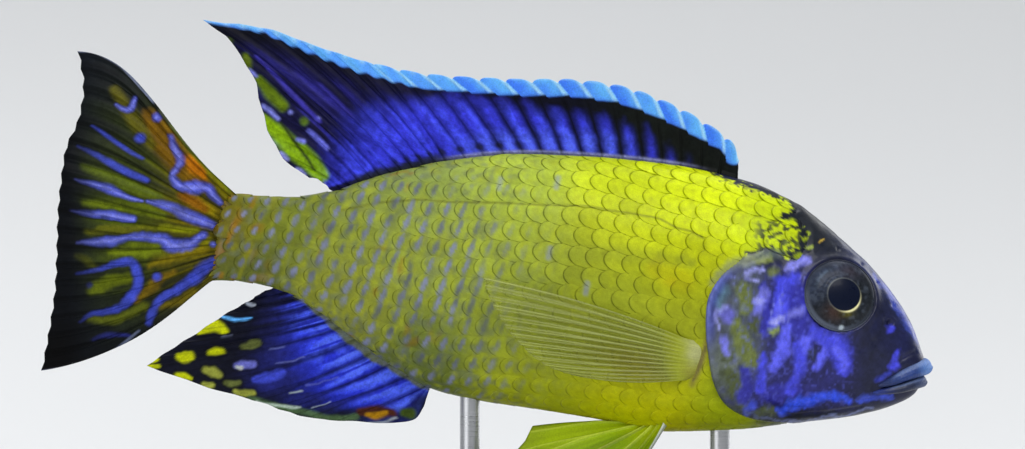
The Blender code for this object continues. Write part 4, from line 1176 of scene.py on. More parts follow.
LIP_ROWS, LIP_SIDES = 220, 32
LIP_SHINE = (128, 150, 200)
UPPER_LIP = dict(
    front_x=65.55, corner_x=58.6, heights=[(58.6, 32.15), (60.6, 32.85), (62.6, 33.8), (65.55, 35.0)],
    radii=(1.38, 0.16), crest=(40, 64, 128), root=(28, 38, 76), tip=(98, 138, 204), fade=(40, 48, 84),
)
LOWER_LIP = dict(
    front_x=65.15, corner_x=57.8, heights=[(57.8, 31.1), (61.6, 31.7), (65.15, 32.8)], radii=(1.0, 0.16),
    crest=(34, 42, 70), root=(22, 28, 48), tip=(66, 80, 116), fade=(44, 60, 140),
)


def make_lip(name, lip, material):
    """A roll from corner to corner of the mouth, fullest in front, with fine cross wrinkles."""
    turn = np.linspace(-math.pi / 2, math.pi / 2, LIP_ROWS)[:, None]
    about = round_turns(LIP_SIDES)[None, :]
    corner, _ = skin_frame(lip["corner_x"], smooth(lip["heights"], lip["corner_x"]))
    x = lip["corner_x"] + (lip["front_x"] - lip["corner_x"]) * np.cos(turn)
    path = np.stack([x, (corner[1] - 0.1) * np.sin(turn), smooth(lip["heights"], x)], axis=-1)
    along = unit(np.gradient(path[:, 0], axis=0))[:, None, :]
    outward = unit(np.stack([np.cos(turn) + 0.15, np.sin(turn) * 1.1, 0 * turn], axis=-1))
    outward = unit(outward - (outward * along).sum(-1, keepdims=True) * along)
    upward = np.cross(outward, along)
    upward *= np.sign(upward[..., 2:3])
    full, thin = lip["radii"]
    radius = thin + (full - thin) * np.abs(np.cos(turn)) ** 0.6
    wrinkle = 0.03 * np.sin(turn * 95) * np.cos(turn)
    size = radius * (1 + wrinkle) * (1 - 0.12 * np.cos(about) ** 2 * (np.sin(about) > 0))
    spots = path + (size * np.cos(about))[..., None] * outward
    spots = spots + (0.92 * size * np.sin(about))[..., None] * upward
    spots += 0.05 * noise(spots, 0.9, 51)[..., None] * outward
    forward = np.cos(turn) + 0 * about
    # Painted shade: the lip darker where it turns in towards the head, lighter on its outer crest.
    paint = lay(ground(lip["root"], spots), lip["crest"], ramp(-0.2, 0.9, np.cos(about) + 0 * turn))
    paint = lay(paint, lip["fade"], 0.8 * ramp(0.55, 0.05, forward))
    paint = lay(paint, lip["tip"], ramp(0.72, 0.97, forward) * ramp(-0.2, 0.7, np.cos(about)))
    # A painted highlight along the top of the lip.
    paint = lay(paint, LIP_SHINE, 0.5 * bell(np.sin(about) - 0.75, 0.25) * ramp(0.25, 0.5, forward))
    paint = paint * (1 + 0.15 * noise(spots, 0.35, 52)[..., None])
    points, faces = closed_tube(spots, path[0, 0], path[-1, 0])
    paint = np.concatenate([paint.reshape(-1, 3), paint[0, :1], paint[-1, :1]])
    add_piece(name, points, faces, material, "head_skin", (), paint)


# The fins

DORSAL = dict(
    rays=26,
    root=[(37.7, 63.4), (28.3, 65.4), (16.1, 66.7), (3.8, 67.1), (-6.7, 66.0), (-17.5, 63.5), (-23.6, 61.6)],
    leading=[
        (37.8, 66.6), (36.6, 69.0), (32.8, 71.7), (28.9, 73.9), (25.0, 75.6), (20.5, 77.1), (13.1, 78.1),
        (3.8, 78.2), (-9.2, 79.0), (-19.0, 81.1), (-26.3, 83.4), (-33.2, 85.8), (-42.5, 87.0),
    ],
    trailing=[
        (-42.5, 87.0), (-39.1, 84.6), (-37.0, 81.6), (-34.9, 78.0), (-33.7, 73.0), (-32.2, 68.8),
        (-29.8, 65.4), (-26.6, 63.3),
    ],
    root_spread=[(0, 0), (15, 0.71), (26, 1)], tip_spread=[(0, 0), (15, 0.69), (20, 1), (26, 2)],
    bow=[(0, 0), (14, 0.4), (20, 1.2), (26, 0.6)], spines=15, lappet=0.75, notch=0.35,
    per_ray=22, rows=72, wave=0.35,
)
ANAL = dict(
    rays=12, root=[(-8.6, 31.5), (-14.0, 35.0), (-19.0, 38.6), (-23.9, 42.4), (-28.7, 45.4), (-32.0, 46.8)],
    leading=[
        (-9.4, 29.0), (-10.8, 27.0), (-13.7, 26.4), (-16.6, 26.4), (-20.0, 26.8), (-23.9, 26.9),
        (-28.8, 27.8), (-34.7, 29.8), (-42.1, 31.9), (-51.1, 35.1),
    ],
    trailing=[(-51.1, 35.1), (-47.4, 37.6), (-43.6, 40.0), (-39.7, 42.6), (-36.1, 44.6), (-34.6, 45.4)],
    root_spread=[
        (0, 0), (1, 0.03), (2, 0.136), (3, 0.25), (4, 0.36), (5, 0.475), (6, 0.575), (8, 0.70), (12, 1),
    ],
    tip_spread=[
        (0, 0), (1, 0.30), (2, 0.454), (3, 0.53), (4, 0.62), (5, 0.77), (6, 0.95), (8, 1.35), (10, 1.75),
        (12, 2),
    ],
    bow=[(0, 0), (3, -0.4), (8, -0.6), (12, 0)], spines=0, lappet=0.0, notch=0.3,
    per_ray=28, rows=80, wave=0.30,
)
TAIL = dict(
    rays=18, root=[(-38.2, 61.4), (-40.3, 58.5), (-41.0, 54.4), (-41.3, 50.4), (-41.4, 47.7)],
    leading=[
        (-61.4, 82.3), (-60.6, 77.0), (-61.4, 72.0), (-63.1, 68.0), (-63.9, 63.0), (-64.4, 58.0),
        (-64.6, 52.0), (-64.9, 46.5), (-65.7, 40.5), (-66.8, 34.4),
    ],
    trailing=None, root_spread=[(0, 0), (18, 1)], tip_spread=[(0, 0), (18, 1)],
    bow=[(0, 2.65), (6, 0.7), (9, 0), (12, -0.7), (18, -2.15)], spines=0, lappet=0.0, notch=0.28,
    bow_power=[(0, 3.0), (8, 1.0), (18, 1.2)], per_ray=24, rows=110, wave=0.55,
)
PECTORAL = dict(
    rays=13, root=[(31.7, 38.5), (31.0, 35.8), (30.3, 33.2)],
    leading=[(-0.2, 48.5), (0.6, 45.8), (2.6, 42.2), (5.0, 39.2), (8.6, 36.4), (13.0, 35.0)],
    trailing=None, root_spread=[(0, 0), (13, 1)], tip_spread=[(0, 0), (13, 1)],
    bow=[(0, 0.9), (6, 0.2), (13, -0.5)], spines=0, lappet=0.0, notch=0.35, per_ray=26, rows=64,
)
PECTORAL_LENGTH = 25.0
PECTORAL_FLARE = 3.0
PECTORAL_FLARE_POWER = 2.2
PECTORAL_ROOT_DIP = 20.0
PELVIC_ROOT = [(27.0, 3.4, 27.0), (25.4, 2.5, 26.6), (23.4, 1.4, 26.2)]
PELVIC_TIPS = [
    (17.6, 10.6, 13.2), (10.3, 12.2, 8.3), (7.6, 10.4, 12.0), (5.2, 8.0, 16.6), (3.8, 5.6, 21.4),
    (6.9, 2.9, 26.0),
]
PELVIC_BOW = (0.8, 0.5, 0.6)
PELVIC_NOTCH = 0.05
PELVIC_SINK = 3.0
PELVIC_GRID = (40, 64)
ROOT_SINK = 1.6
RAY_WIDTH = 0.17
BRANCH_FROM = 0.35
RAY_JOINT = 0.9
THIN_RIM = 0.04
SHORTEST_RAY = 2.0
# Thickness of the web, and of the rays over it, at root and tip, and what is added where the body hides it.
MEDIAN_THICK = dict(web=(0.24, 0.14), ray=(0.62, 0.22), root=0.50, root_edge=(0.12, -0.05))
PECTORAL_THICK = dict(web=(0.16, 0.08), ray=(0.30, 0.12), root=0.55, root_edge=(0.12, -0.03))
PELVIC_THICK = dict(web=(0.24, 0.14), ray=(0.60, 0.25), root=0.60, root_edge=(0.10, -0.05))


def between(table, value):
    """The value of a line of straight runs through the table's points."""
    return np.interp(value, *zip(*table))


def fin_ends(fin, ray):
    """Root and tip of a ray in side view."""
    root = along_line(fin["root"], between(fin["root_spread"], ray))
    share = between(fin["tip_spread"], ray)
    tip = along_line(fin["leading"], np.minimum(share, 1.0))
    if fin["trailing"]:
        tip = np.where((share > 1)[..., None], along_line(fin["trailing"], share - 1), tip)
    return root, tip


def fin_places(fin, ray, along):
    """Side-view places on a fin, and each ray's length. Spines carry lappets, soft rays a faint scallop."""
    root, tip = fin_ends(fin, ray)
    direction = tip - root
    length = np.maximum(np.linalg.norm(direction, axis=-1), 1.0)
    sideways = unit(np.stack([-direction[..., 1], direction[..., 0]], axis=-1))
    part = ray - np.floor(ray)
    spiny = ramp(fin["spines"] + 0.6, fin["spines"] - 0.4, ray) * (fin["spines"] > 0)
    scallop = 2 * np.abs(ray - np.round(ray)) * fin["notch"] * (1 - spiny)
    cut = fin["lappet"] * np.abs(2 * part - 1) ** 3 * spiny
    outer = np.clip(along, 0.0, 1.0) ** 2
    reach = along * (1 - (scallop + cut) / length * outer)
    power = between(fin.get("bow_power", [(0, 1), (1, 1)]), ray)
    peak = power ** power / (power + 1) ** (power + 1)
    bowed = between(fin["bow"], ray) * np.maximum(reach, 0) ** power * (1 - reach) / peak
    return root + direction * reach[..., None] - sideways * bowed[..., None], length


def ray_ridge(spines, ray, along, spots):
    """1 on a ray, 0 on the web between. Soft rays fork. spots are the fin's points, which space the rays."""
    gap = np.linalg.norm(np.gradient(spots, axis=1), axis=-1) / (ray[0, 1] - ray[0, 0])
    off = ray - np.round(ray)
    fork = 0.17 * ramp(BRANCH_FROM, 0.85, along) * (np.round(ray) >= spines)
    return bell(np.minimum(np.abs(off - fork), np.abs(off + fork)) * gap, RAY_WIDTH)


def fin_thickness(sizes, along, ridge):
    """Thickness of a fin from its table of sizes, in mm."""
    inside = np.clip(along, 0.0, 1.0)
    web, ray = (start + (end - start) * inside for start, end in (sizes["web"], sizes["ray"]))
    return web + ray * ridge + sizes["root"] * ramp(*sizes["root_edge"], along)


def ray_numbers(rays, per_ray):
    """The columns of a fin's grid as ray numbers, counted from the front."""
    return np.linspace(0.0, rays, rays * per_ray + 1)[None, :]


def fin_grid(ray, length, rows, sink):
    """Ray numbers and shares along rays of this length, which start a little inside the body."""
    stretch = sink / length
    return np.broadcast_arrays(ray, np.linspace(0.0, 1.0, rows)[:, None] * (1 + stretch) - stretch)


def make_median_fin(name, fin, paint_of, material, slot):
    """A fin in the middle plane, with a slow wave, webs that billow a little, and jointed soft rays."""
    ray = ray_numbers(fin["rays"], fin["per_ray"])
    _, length = fin_places(fin, ray, np.ones((1, 1)))
    ray, along = fin_grid(ray, np.maximum(length, SHORTEST_RAY), fin["rows"], ROOT_SINK)
    flat, length = fin_places(fin, ray, along)
    inside = np.clip(along, 0.0, 1.0)
    ridge = ray_ridge(fin["spines"], ray, inside, flat)
    sway = fin["wave"] * inside ** 1.5 * (np.sin(ray * 0.55 + 0.8) + 0.5 * np.sin(ray * 1.3 + 2.1))
    billow = 0.16 * np.sin(2 * math.pi * ray) * ramp(0.1, 0.6, inside)
    spots = np.stack([flat[..., 0], sway + billow, flat[..., 1]], axis=-1)
    joints = 1 + 0.10 * np.sin(along * length * 2 * math.pi / RAY_JOINT) * (ray > fin["spines"] - 0.5)
    rim = np.clip((1 - inside) / THIN_RIM, 0, 1)
    thick = fin_thickness(MEDIAN_THICK, along, ridge * joints) * (0.35 + 0.65 * np.sqrt(rim))
    points, faces = closed_sheet(spots, thick)
    paint = paint_of(spots, ray, inside, length, ridge)
    add_piece("rayed_" + name, points, faces, material, slot, (name,), np.stack([paint, paint]))


def ray_streaks(ray, along, seed):
    """Fine light and dark streaks that run along the rays."""
    return noise(np.stack([ray * 3.0, along * 2.2], axis=-1), 1.0, seed)


SKY, DEEP_SKY, PALE_SKY = (100, 180, 250), (66, 126, 246), (166, 220, 252)
MARGIN_END_RAY = 20.6
LAPPET_LEAN = 0.018
MARGIN_WIDTH_PX = [
    (203, 2), (216, 3), (241, 4.2), (260, 5), (279, 7), (300, 8.5), (341, 12), (400, 15.5), (460, 16.5),
    (540, 17.5), (600, 17.5), (660, 18.5), (700, 17.5), (725, 13), (740, 9),
]
BLUE_START_PX = [
    (330, 48), (380, 34), (430, 26), (500, 22), (540, 29), (573, 35), (600, 36), (640, 39), (670, 42),
]
DORSAL_MARKS = [
    ((70, 90, 14), 8, [(229, 42)]),
    ((86, 104, 10), [7, 10, 8], [(246, 56), (248, 66)]),
    ((96, 120, 6), [8, 13, 11], [(259, 79), (269, 92), (283, 106)]),
    ((136, 176, 4), [8, 16, 18, 14, 7], [(263, 118), (276, 132), (292, 148), (308, 164), (320, 180)]),
    ((122, 162, 6), [8, 12, 9], [(301, 146), (313, 160), (325, 176)]),
    ((36, 46, 18), [1.5, 3, 3, 2], [(281, 123), (292, 138), (303, 153), (315, 170)]),
    ((84, 110, 30), 8, [(304, 121)]),
    ((132, 138, 232), [3, 4, 3], [(250, 70), (256, 76)]),
    ((132, 138, 232), [4, 5, 4], [(263, 106), (270, 111), (278, 119)]),
    ((132, 138, 232), 4, [(291, 113)]),
    ((132, 138, 232), 4, [(318, 119)]),
    ((150, 154, 236), [4, 5, 4], [(281, 154), (287, 159)]),
    ((150, 154, 236), [4, 5, 4], [(298, 170), (304, 175)]),
    ((150, 154, 236), [4, 5], [(315, 182), (323, 185)]),
    ((124, 130, 232), [3, 4], [(297, 139), (303, 141)]),
    ((112, 118, 236), [4, 5, 4], [(309, 131), (318, 139), (327, 148)]),
    ((62, 56, 168), [2, 4, 5, 4, 3], [(256, 56), (272, 72), (289, 90), (304, 106), (320, 122)]),
    ((48, 44, 140), [2, 4, 3], [(320, 84), (336, 100), (352, 116)]),
]


DORSAL_GROUND = (10, 11, 26)
# Tints of the dorsal fin in the order of their use.
DORSAL_TINTS = dict(
    front=dict(colour=(16, 20, 17), px=[(560, 640)]),
    rear=dict(colour=(26, 24, 84), px=[(520, 400)]),
    faint=dict(colour=(58, 54, 168)),
    blue=dict(colour=(54, 58, 208), px=[(700, 664)]),
    glow=dict(colour=(72, 84, 252), px=[(670, 610)]),
    bright=dict(colour=(92, 114, 255), px=[(440, 500), (650, 600)]),
    foot=dict(colour=(34, 38, 46), px=[(345, 365), (450, 435)]),
    sheath=dict(colour=(150, 154, 216), px=[(430, 470), (715, 660)]),
    dots=dict(colour=(26, 28, 50), px=[(384, 396), (535, 500)]),
)
SKY_SHADE = (60, 100, 220)
RIBBON_PX = 2.7


def sky_margin(px, ray, from_margin, lumps):
    """Paint of the dorsal fin's sky-blue margin and its share: lappets in front, a wavy ribbon behind."""
    leaning = ray + LAPPET_LEAN * from_margin
    lappet = leaning - np.floor(leaning)
    waved = ramp(440, 390, px)
    ribbon = 1.2 * np.sin(px / RIBBON_PX + 1.0) * waved * ramp(225, 270, px)
    edge = between(MARGIN_WIDTH_PX, px) + ribbon + (2.4 * lappet - 1.6) * ramp(420, 470, px)
    dull = 0.25 - 0.25 * np.cos(np.pi * np.floor(leaning)) + 0.55 * ramp(0.25, 0.95, lappet) + 0.3 * lumps
    twist = 0.5 + 0.5 * np.sin(2 * np.pi * (ray - 0.03 * from_margin))
    crests = ramp(0.3, 0.9, np.sin(px / RIBBON_PX - 0.5)) * waved * ramp(6, 2, from_margin)
    sky = layered(
        np.broadcast_to(linear(SKY), px.shape + (3,)),
        (DEEP_SKY, np.clip(dull, 0, 1) * ramp(380, 480, px)),
        (DEEP_SKY, 0.45 * twist * ramp(480, 380, px)),
        (PALE_SKY, 0.9 * bell(lappet - 0.13, 0.10) * ramp(330, 420, px)),
        (PALE_SKY, 0.6 * crests),
        (PALE_SKY, 0.45 * ramp(2.5, 0.0, from_margin)),
        (SKY_SHADE, 0.5 * ramp(edge - 3.0, edge, from_margin)),
    )
    return sky, ramp(edge + 1.0, edge - 1.0, from_margin) * (ray < MARGIN_END_RAY)


def dorsal_paint(spots, ray, along, length, ridge):
    """Black with blue webs, olive and lilac marks at the rear, and a sky-blue margin."""
    here = px, py = to_px(spots)
    from_margin = np.abs(near_line(side_view(spots), DORSAL["leading"])[0]) / PX
    from_base = along * length / PX
    part = ray - np.floor(ray)
    streak = ray_streaks(ray, along, 61)
    lumps = noise(spots, 1.1, 63)
    web = 0.7 * ramp(540, 380, px) + bell(part - 0.5 + 0.05 * lumps, 0.30 - 0.07 * ramp(560, 640, px))
    web = np.clip(web, 0.0, 1.0) * ramp(0.0, 4.0, from_base)
    start = between(BLUE_START_PX, px) + 5 * lumps + 4 * streak
    rear_edge = px + 0.74 * py - 462
    blue = web * ramp(start - 10, start + 16, from_margin) * ramp(-45, 50, rear_edge + 10 * streak)
    paint = tinted(ground(DORSAL_GROUND, spots), here, DORSAL_TINTS, dict(
        front=1.0,
        rear=0.7 * ramp(8, 30, from_margin) * (0.6 + 0.4 * streak),
        faint=0.5 * ramp(0.15, 0.7, streak) * ramp(14, 40, from_margin) * ramp(0, -60, rear_edge),
        blue=np.clip(1.1 * blue * (1 - 0.2 * ramp(600, 660, px)), 0, 1),
        glow=0.75 * blue * ramp(-0.3, 0.6, streak + 0.5 * lumps),
        bright=0.6 * blue * ramp(34, 12, from_base),
    ))
    paint = add_marks(paint, (px + 0.8 * lumps, py + 0.8 * lumps), DORSAL_MARKS, soft=2.2, strength=0.95)
    dots = bell(16 * np.minimum(part, 1 - part), 3.4) * bell(from_base - 8.5, 3.6)
    paint = tinted(paint, here, DORSAL_TINTS, dict(
        foot=0.9 * ramp(7.5, 4.0, from_base + 2.5 * lumps),
        sheath=0.75 * bell(from_base - 1.2, 1.4),
    ))
    dots = np.clip(1.3 * dots * area(here, DORSAL_TINTS["dots"]), 0, 0.85)
    paint = lay(paint, DORSAL_TINTS["dots"]["colour"], dots)
    paint = grained(paint * (1 - (0.20 + 0.16 * ramp(400, 520, px)) * ridge)[..., None], spots, 0.5)
    return blend(paint, *sky_margin(px, ray, from_margin, lumps))


BLUE_LINE, PALE_LINE, DIM_LINE = (66, 80, 200), (88, 98, 212), (44, 50, 132)
TAIL_FIELDS = [
    ((128, 92, 8), [16, 26, 22, 14], [(150, 118), (168, 146), (184, 168), (206, 186)]),
    ((196, 116, 4), [8, 14, 9], [(187, 158), (195, 167), (205, 175)]),
    ((112, 126, 22), [3, 5, 6, 5], [(172, 126), (190, 148), (206, 166), (228, 190)]),
    ((170, 152, 8), [5, 7, 6], [(192, 204), (204, 208), (212, 212)]),
    ((150, 148, 8), [4, 7, 7], [(180, 253), (196, 250), (210, 243)]),
    ((140, 146, 10), [4, 6, 5], [(160, 227), (180, 230), (198, 232)]),
    ((140, 88, 10), [10, 12, 8], [(184, 196), (196, 204), (206, 210)]),
    ((120, 112, 8), [6, 9, 7], [(210, 176), (219, 186), (226, 196)]),
    ((104, 118, 14), [8, 12, 10], [(112, 252), (134, 251), (158, 249)]),
    ((98, 112, 16), [6, 9, 9, 7], [(84, 203), (112, 206), (140, 209), (164, 216)]),
    ((126, 112, 10), [6, 8, 8], [(150, 266), (176, 258), (204, 250)]),
    ((84, 98, 18), [6, 9, 8, 6], [(84, 168), (108, 176), (136, 188), (160, 196)]),
    ((92, 100, 20), [6, 9, 8], [(90, 320), (118, 320), (144, 306)]),
    ((100, 112, 14), [10, 13, 9], [(92, 290), (112, 282), (128, 278)]),
    ((120, 98, 12), [7, 9, 7], [(136, 300), (152, 286), (172, 272)]),
    ((104, 106, 16), [6, 8, 6], [(88, 232), (120, 230), (150, 230)]),
    ((104, 92, 14), [6, 8, 6], [(160, 306), (178, 302), (194, 292)]),
    ((96, 92, 16), [10, 14, 10], [(116, 92), (134, 120), (152, 146)]),
    ((80, 84, 16), [5, 7, 5], [(96, 268), (82, 258), (76, 256)]),
]
TAIL_MARKS = [
    (PALE_LINE, [3, 5, 5, 4], [(115.8, 104.5), (123.3, 109.5), (130, 109), (135.7, 98.3)]),
    (PALE_LINE, 9, [(156.9, 117.5)]),
    (BLUE_LINE, 10, [(140.2, 138.1)]),
    (PALE_LINE, [5, 7, 8, 6, 6, 8, 8, 13, 9, 8, 5],
     [(170.5, 136.9), (175.5, 149.3), (180.5, 159.3), (176.8, 170), (172, 175.4), (179.3, 185.4),
      (194.2, 187.9), (203, 188), (209, 189), (212.8, 195.3), (220.3, 202.8)]),
    (BLUE_LINE, [2, 4, 4, 3], [(92.2, 125.7), (104.6, 134.4), (122, 146.8), (143.2, 159.3)]),
    (BLUE_LINE, [2, 5, 6, 6, 4],
     [(77.3, 146.3), (94.7, 154.3), (114.6, 165.5), (129.5, 172.9), (146.9, 180.4)]),
    (PALE_LINE, [2, 6, 9, 5, 3], [(76, 179.7), (92.2, 184.1), (112.1, 190.3), (129.5, 197.8), (142, 201)]),
    (PALE_LINE, [4, 8, 10, 11, 8],
     [(148.2, 201.5), (169.3, 206.5), (184.2, 214), (204.1, 222.7), (212.8, 226.4)]),
    (PALE_LINE, [2, 6, 8, 5], [(71, 210.2), (92.2, 213.5), (112.1, 216), (134, 219)]),
    (PALE_LINE, [2, 7, 9, 6, 7, 9, 13, 11, 6],
     [(77.3, 243.1), (94.7, 242.6), (117.1, 240.1), (129.5, 236.9), (149.4, 237.6), (164.3, 240.3),
      (172, 246), (189.2, 245.1), (201, 238)]),
    (PALE_LINE, 8, [(204.1, 236)]),
    (PALE_LINE, 5, [(213.6, 245)]),
    (BLUE_LINE, [2, 4, 5, 6, 8, 9, 9, 9, 7, 5, 2],
     [(76, 273.7), (94.7, 270), (112.1, 265), (131, 262.5), (137, 272), (137, 286.1), (129.5, 298.6),
      (119.6, 308), (104.6, 312.2), (92.2, 314.7), (79.8, 322.2)]),
    (BLUE_LINE, 8, [(157.6, 277.4)]),
    (BLUE_LINE, [9, 13, 12, 9, 7, 7, 8, 5],
     [(214.1, 261.2), (204.1, 268.7), (189.2, 281.1), (176.8, 289.9), (164.3, 296.1), (156.5, 303.5),
      (150.6, 315), (148.9, 323.4)]),
    (PALE_LINE, 6, [(222.8, 271)]),
    (DIM_LINE, [3, 5, 3], [(93.4, 339.6), (111, 334.6), (129.5, 335.9)]),
    (DIM_LINE, 6, [(89.7, 286)]),
]
TAIL_FILAMENTS = [
    ((140, 150, 180), 2.4, [(78, 51), (94.7, 52.3), (117, 63.5), (129.5, 74.7), (142, 89.6), (154.4, 102)]),
    ((120, 130, 80), 2.2, [(160, 109), (179.3, 134.4), (199, 156.8), (214, 174)]),
    ((110, 120, 150), 2.0, [(42, 371), (67.3, 367), (87.2, 362), (109.6, 352), (124.5, 342), (139, 331)]),
]


TAIL_GROUND, TAIL_OLIVE, TAIL_BROWN = (15, 19, 26), (72, 84, 10), (114, 96, 8)
TAIL_OUTLINES = marks_under(TAIL_MARKS, (20, 22, 26), 1.0, 3.0)
TAIL_CORES = marks_under([mark for mark in TAIL_MARKS if mark[0] == PALE_LINE], (150, 156, 246), 0.34)


def tail_paint(spots, ray, along, *_):
    """Olive rays with blue worms and streaks, fading to navy at the rear and in both tips."""
    px, py = to_px(spots)
    warp = noises(spots, (1.0, 1.6, 71), (0.6, 0.6, 73))
    shaken = (px + warp, py + warp)
    streak = ray_streaks(ray, along, 72)
    inner = bell((py - 212) / 96, 1.0) ** 1.5
    olive = np.clip(ramp(66, 130, px) * inner * (0.85 + 0.5 * streak), 0, 1)
    brown = 0.75 * np.clip(ramp(130, 205, px) * inner * (0.8 + 0.5 * streak), 0, 1)
    paint = lay(lay(ground(TAIL_GROUND, spots), TAIL_OLIVE, olive), TAIL_BROWN, brown)
    fields = add_marks(paint, (px + 1.5 * warp, py + 1.5 * warp), TAIL_FIELDS, soft=3.4, strength=0.92)
    paint = blend(paint, fields, ramp(62, 100, px))
    paint = paint * (1 - 0.35 * ramp(0.20, 0.02, np.abs(ray - np.round(ray))) + 0.30 * streak)[..., None]
    paint = add_marks(paint, shaken, TAIL_OUTLINES, soft=2.2, strength=0.6)
    fade = (0.30 + 0.70 * ramp(72, 116, px)) * (0.86 + 0.30 * noise(spots, 1.3, 74))
    fade = np.clip(fade, 0.0, 1.0)
    paint = add_marks(paint, shaken, TAIL_MARKS, soft=1.7, strength=0.92 * fade)
    paint = add_marks(paint, shaken, TAIL_CORES, soft=1.8, strength=0.55 * fade)
    dim = 1 - 0.55 * ramp(96, 62, px) - 0.35 * ramp(300, 350, py)
    paint = grained(paint * dim[..., None], spots, 0.35)
    return add_marks(paint, (px, py), TAIL_FILAMENTS, soft=1.0, strength=0.6)


EGG, EGG_DIM, EGG_PALE = (196, 204, 14), (92, 100, 50), (150, 156, 62)
ANAL_MARKS = [
    (EGG, [6, 9, 10, 7], [(179, 357), (183, 358), (188, 357), (191, 356)]),
    (EGG, [5, 8, 6], [(210, 353), (216, 352), (222, 352)]),
    (EGG, [4, 8, 12, 8], [(199, 333), (207, 329), (216, 326), (224, 331)]),
    (EGG, [4, 5, 3], [(148, 361), (153, 360), (157, 359)]),
    (EGG, [3, 5, 4], [(147, 367), (152, 367), (158, 366)]),
    (EGG, [5, 7, 4], [(177, 375), (184, 376), (190, 378)]),
    (EGG_PALE, [7, 10, 7], [(206, 370), (213, 372), (219, 375)]),
    (EGG_PALE, [6, 8, 6], [(204, 385), (208, 387), (212, 386)]),
    (EGG_DIM, [5, 7, 5], [(226, 383), (232, 384), (239, 383)]),
    (EGG_PALE, [5, 7, 5], [(236, 392), (244, 393), (253, 393)]),
    (EGG_DIM, [5, 8, 6], [(243, 347), (250, 345), (258, 343)]),
    ((104, 108, 196), [6, 9, 7], [(237, 366), (245, 365), (253, 364)]),
    ((190, 196, 190), [3, 5], [(237, 367), (241, 368)]),
    (SKY, [2, 4, 4, 2], [(222, 317), (232, 319), (242, 320), (252, 319)]),
    ((190, 200, 220), [2, 3, 2], [(247, 304), (251, 305), (255, 305)]),
    ((60, 72, 196), [6, 10, 8], [(255, 380), (270, 377), (282, 373)]),
    ((70, 34, 22), [7, 12, 8], [(360, 412), (374, 411), (392, 413)]),
    ((166, 120, 12), [4, 7, 5], [(367, 415), (376, 416), (386, 413)]),
    ((60, 78, 24), [8, 11], [(403, 412), (411, 414)]),
]
ANAL_SHEATH = [(285, 0), (305, 2), (330, 8), (360, 9), (390, 6), (425, 2)]
ANAL_MARGIN = [(250, 398), (274, 406), (297, 411), (312, 414), (331, 419), (356, 417)]
ANAL_GLINTS = [
    ((214, 236, 220), [2, 3, 3, 2], [(257, 401), (272, 405), (288, 407), (300, 408)]),
    ((190, 206, 206), 1.8, [(290, 393), (302, 391)]),
    ((170, 184, 190), 1.6, [(312, 408), (326, 404), (330, 402)]),
    ((190, 200, 206), 2.2, [(370, 423), (384, 422), (396, 417)]),
    ((120, 128, 160), 1.5, [(222, 338), (232, 336)]),
    ((110, 120, 190), 1.4, [(276, 364), (292, 361), (304, 357)]),
    ((110, 120, 190), 1.4, [(270, 350), (284, 347)]),
    ((100, 110, 200), 1.4, [(306, 386), (322, 382), (338, 378)]),
]


ANAL_GROUND, ANAL_DIM, ANAL_BLUE, ANAL_GLOW = (17, 19, 34), (40, 46, 140), (44, 58, 224), (86, 112, 255)
ANAL_EDGE, SHEATH_OLIVE, SHEATH_GREY = (22, 25, 24), (108, 116, 66), (118, 124, 136)
EGG_OUTLINES = marks_under(ANAL_MARKS[:12], (13, 14, 20), 1.0, 5.0)
ANAL_MARGIN_MARK = ((84, 112, 72), 6, ANAL_MARGIN)


def anal_paint(spots, ray, along, length, ridge):
    """Bright blue beside the body, navy behind it, with yellow egg spots near the rear edge."""
    px, py = to_px(spots)
    from_base = along * length / PX
    warp = 0.9 * noise(spots, 0.9, 81)
    streak = ray_streaks(ray, along, 82)
    fine = ray_streaks(2.2 * ray, 0.6 * along, 84)
    lumps = noise(spots, 1.0, 83)
    edge_gap = np.abs(near_line(side_view(spots), ANAL["leading"])[0])
    part = np.abs(ray - np.floor(ray) - 0.5)
    rear_edge = px + 0.35 * (py - 350)
    sheath = between(ANAL_SHEATH, px)
    dim = ramp(232, 290, rear_edge) * ramp(1.0, 0.75, along) * (0.55 + 0.45 * streak)
    reach = from_base - sheath + 20 * streak + 10 * fine
    blue = ramp(262, 312, rear_edge + 12 * streak) * ramp(92, 32, reach)
    blue = blue * (1 - 0.80 * ramp(0.20, 0.46, part + 0.12 * fine)) * (0.86 + 0.45 * fine)
    glow = blue * ramp(-0.5, 0.3, fine + 0.4 * lumps) * ramp(66, 18, reach)
    skin = ramp(sheath + 2.0, sheath - 2.0, from_base + 2.5 * lumps) * ramp(0.0, 3.0, sheath)
    paint = layered(
        ground(ANAL_GROUND, spots),
        (ANAL_DIM, np.clip(0.75 * dim, 0, 1)),
        (ANAL_BLUE, np.clip(1.15 * blue, 0, 1)),
        (ANAL_GLOW, 0.9 * np.clip(glow, 0, 1)),
        (ANAL_EDGE, 0.85 * ramp(3.0, 1.2, edge_gap) * ramp(300, 340, px)),
        (SHEATH_OLIVE, 0.9 * skin),
        (SHEATH_GREY, 0.6 * skin * ramp(0.0, 0.5, lumps)),
    )
    shaken = (px + warp, py + warp)
    paint = add_marks(paint, shaken, EGG_OUTLINES, soft=2.0, strength=0.8)
    paint = add_marks(paint, shaken, ANAL_MARKS, soft=1.3)
    paint = add_marks(paint, (px, py + warp), [ANAL_MARGIN_MARK], soft=2.0, strength=0.8)
    paint = add_marks(paint, (px, py + warp), ANAL_GLINTS, soft=1.2, strength=0.55)
    return grained(paint * (1 - 0.30 * ridge)[..., None], spots, 0.4)


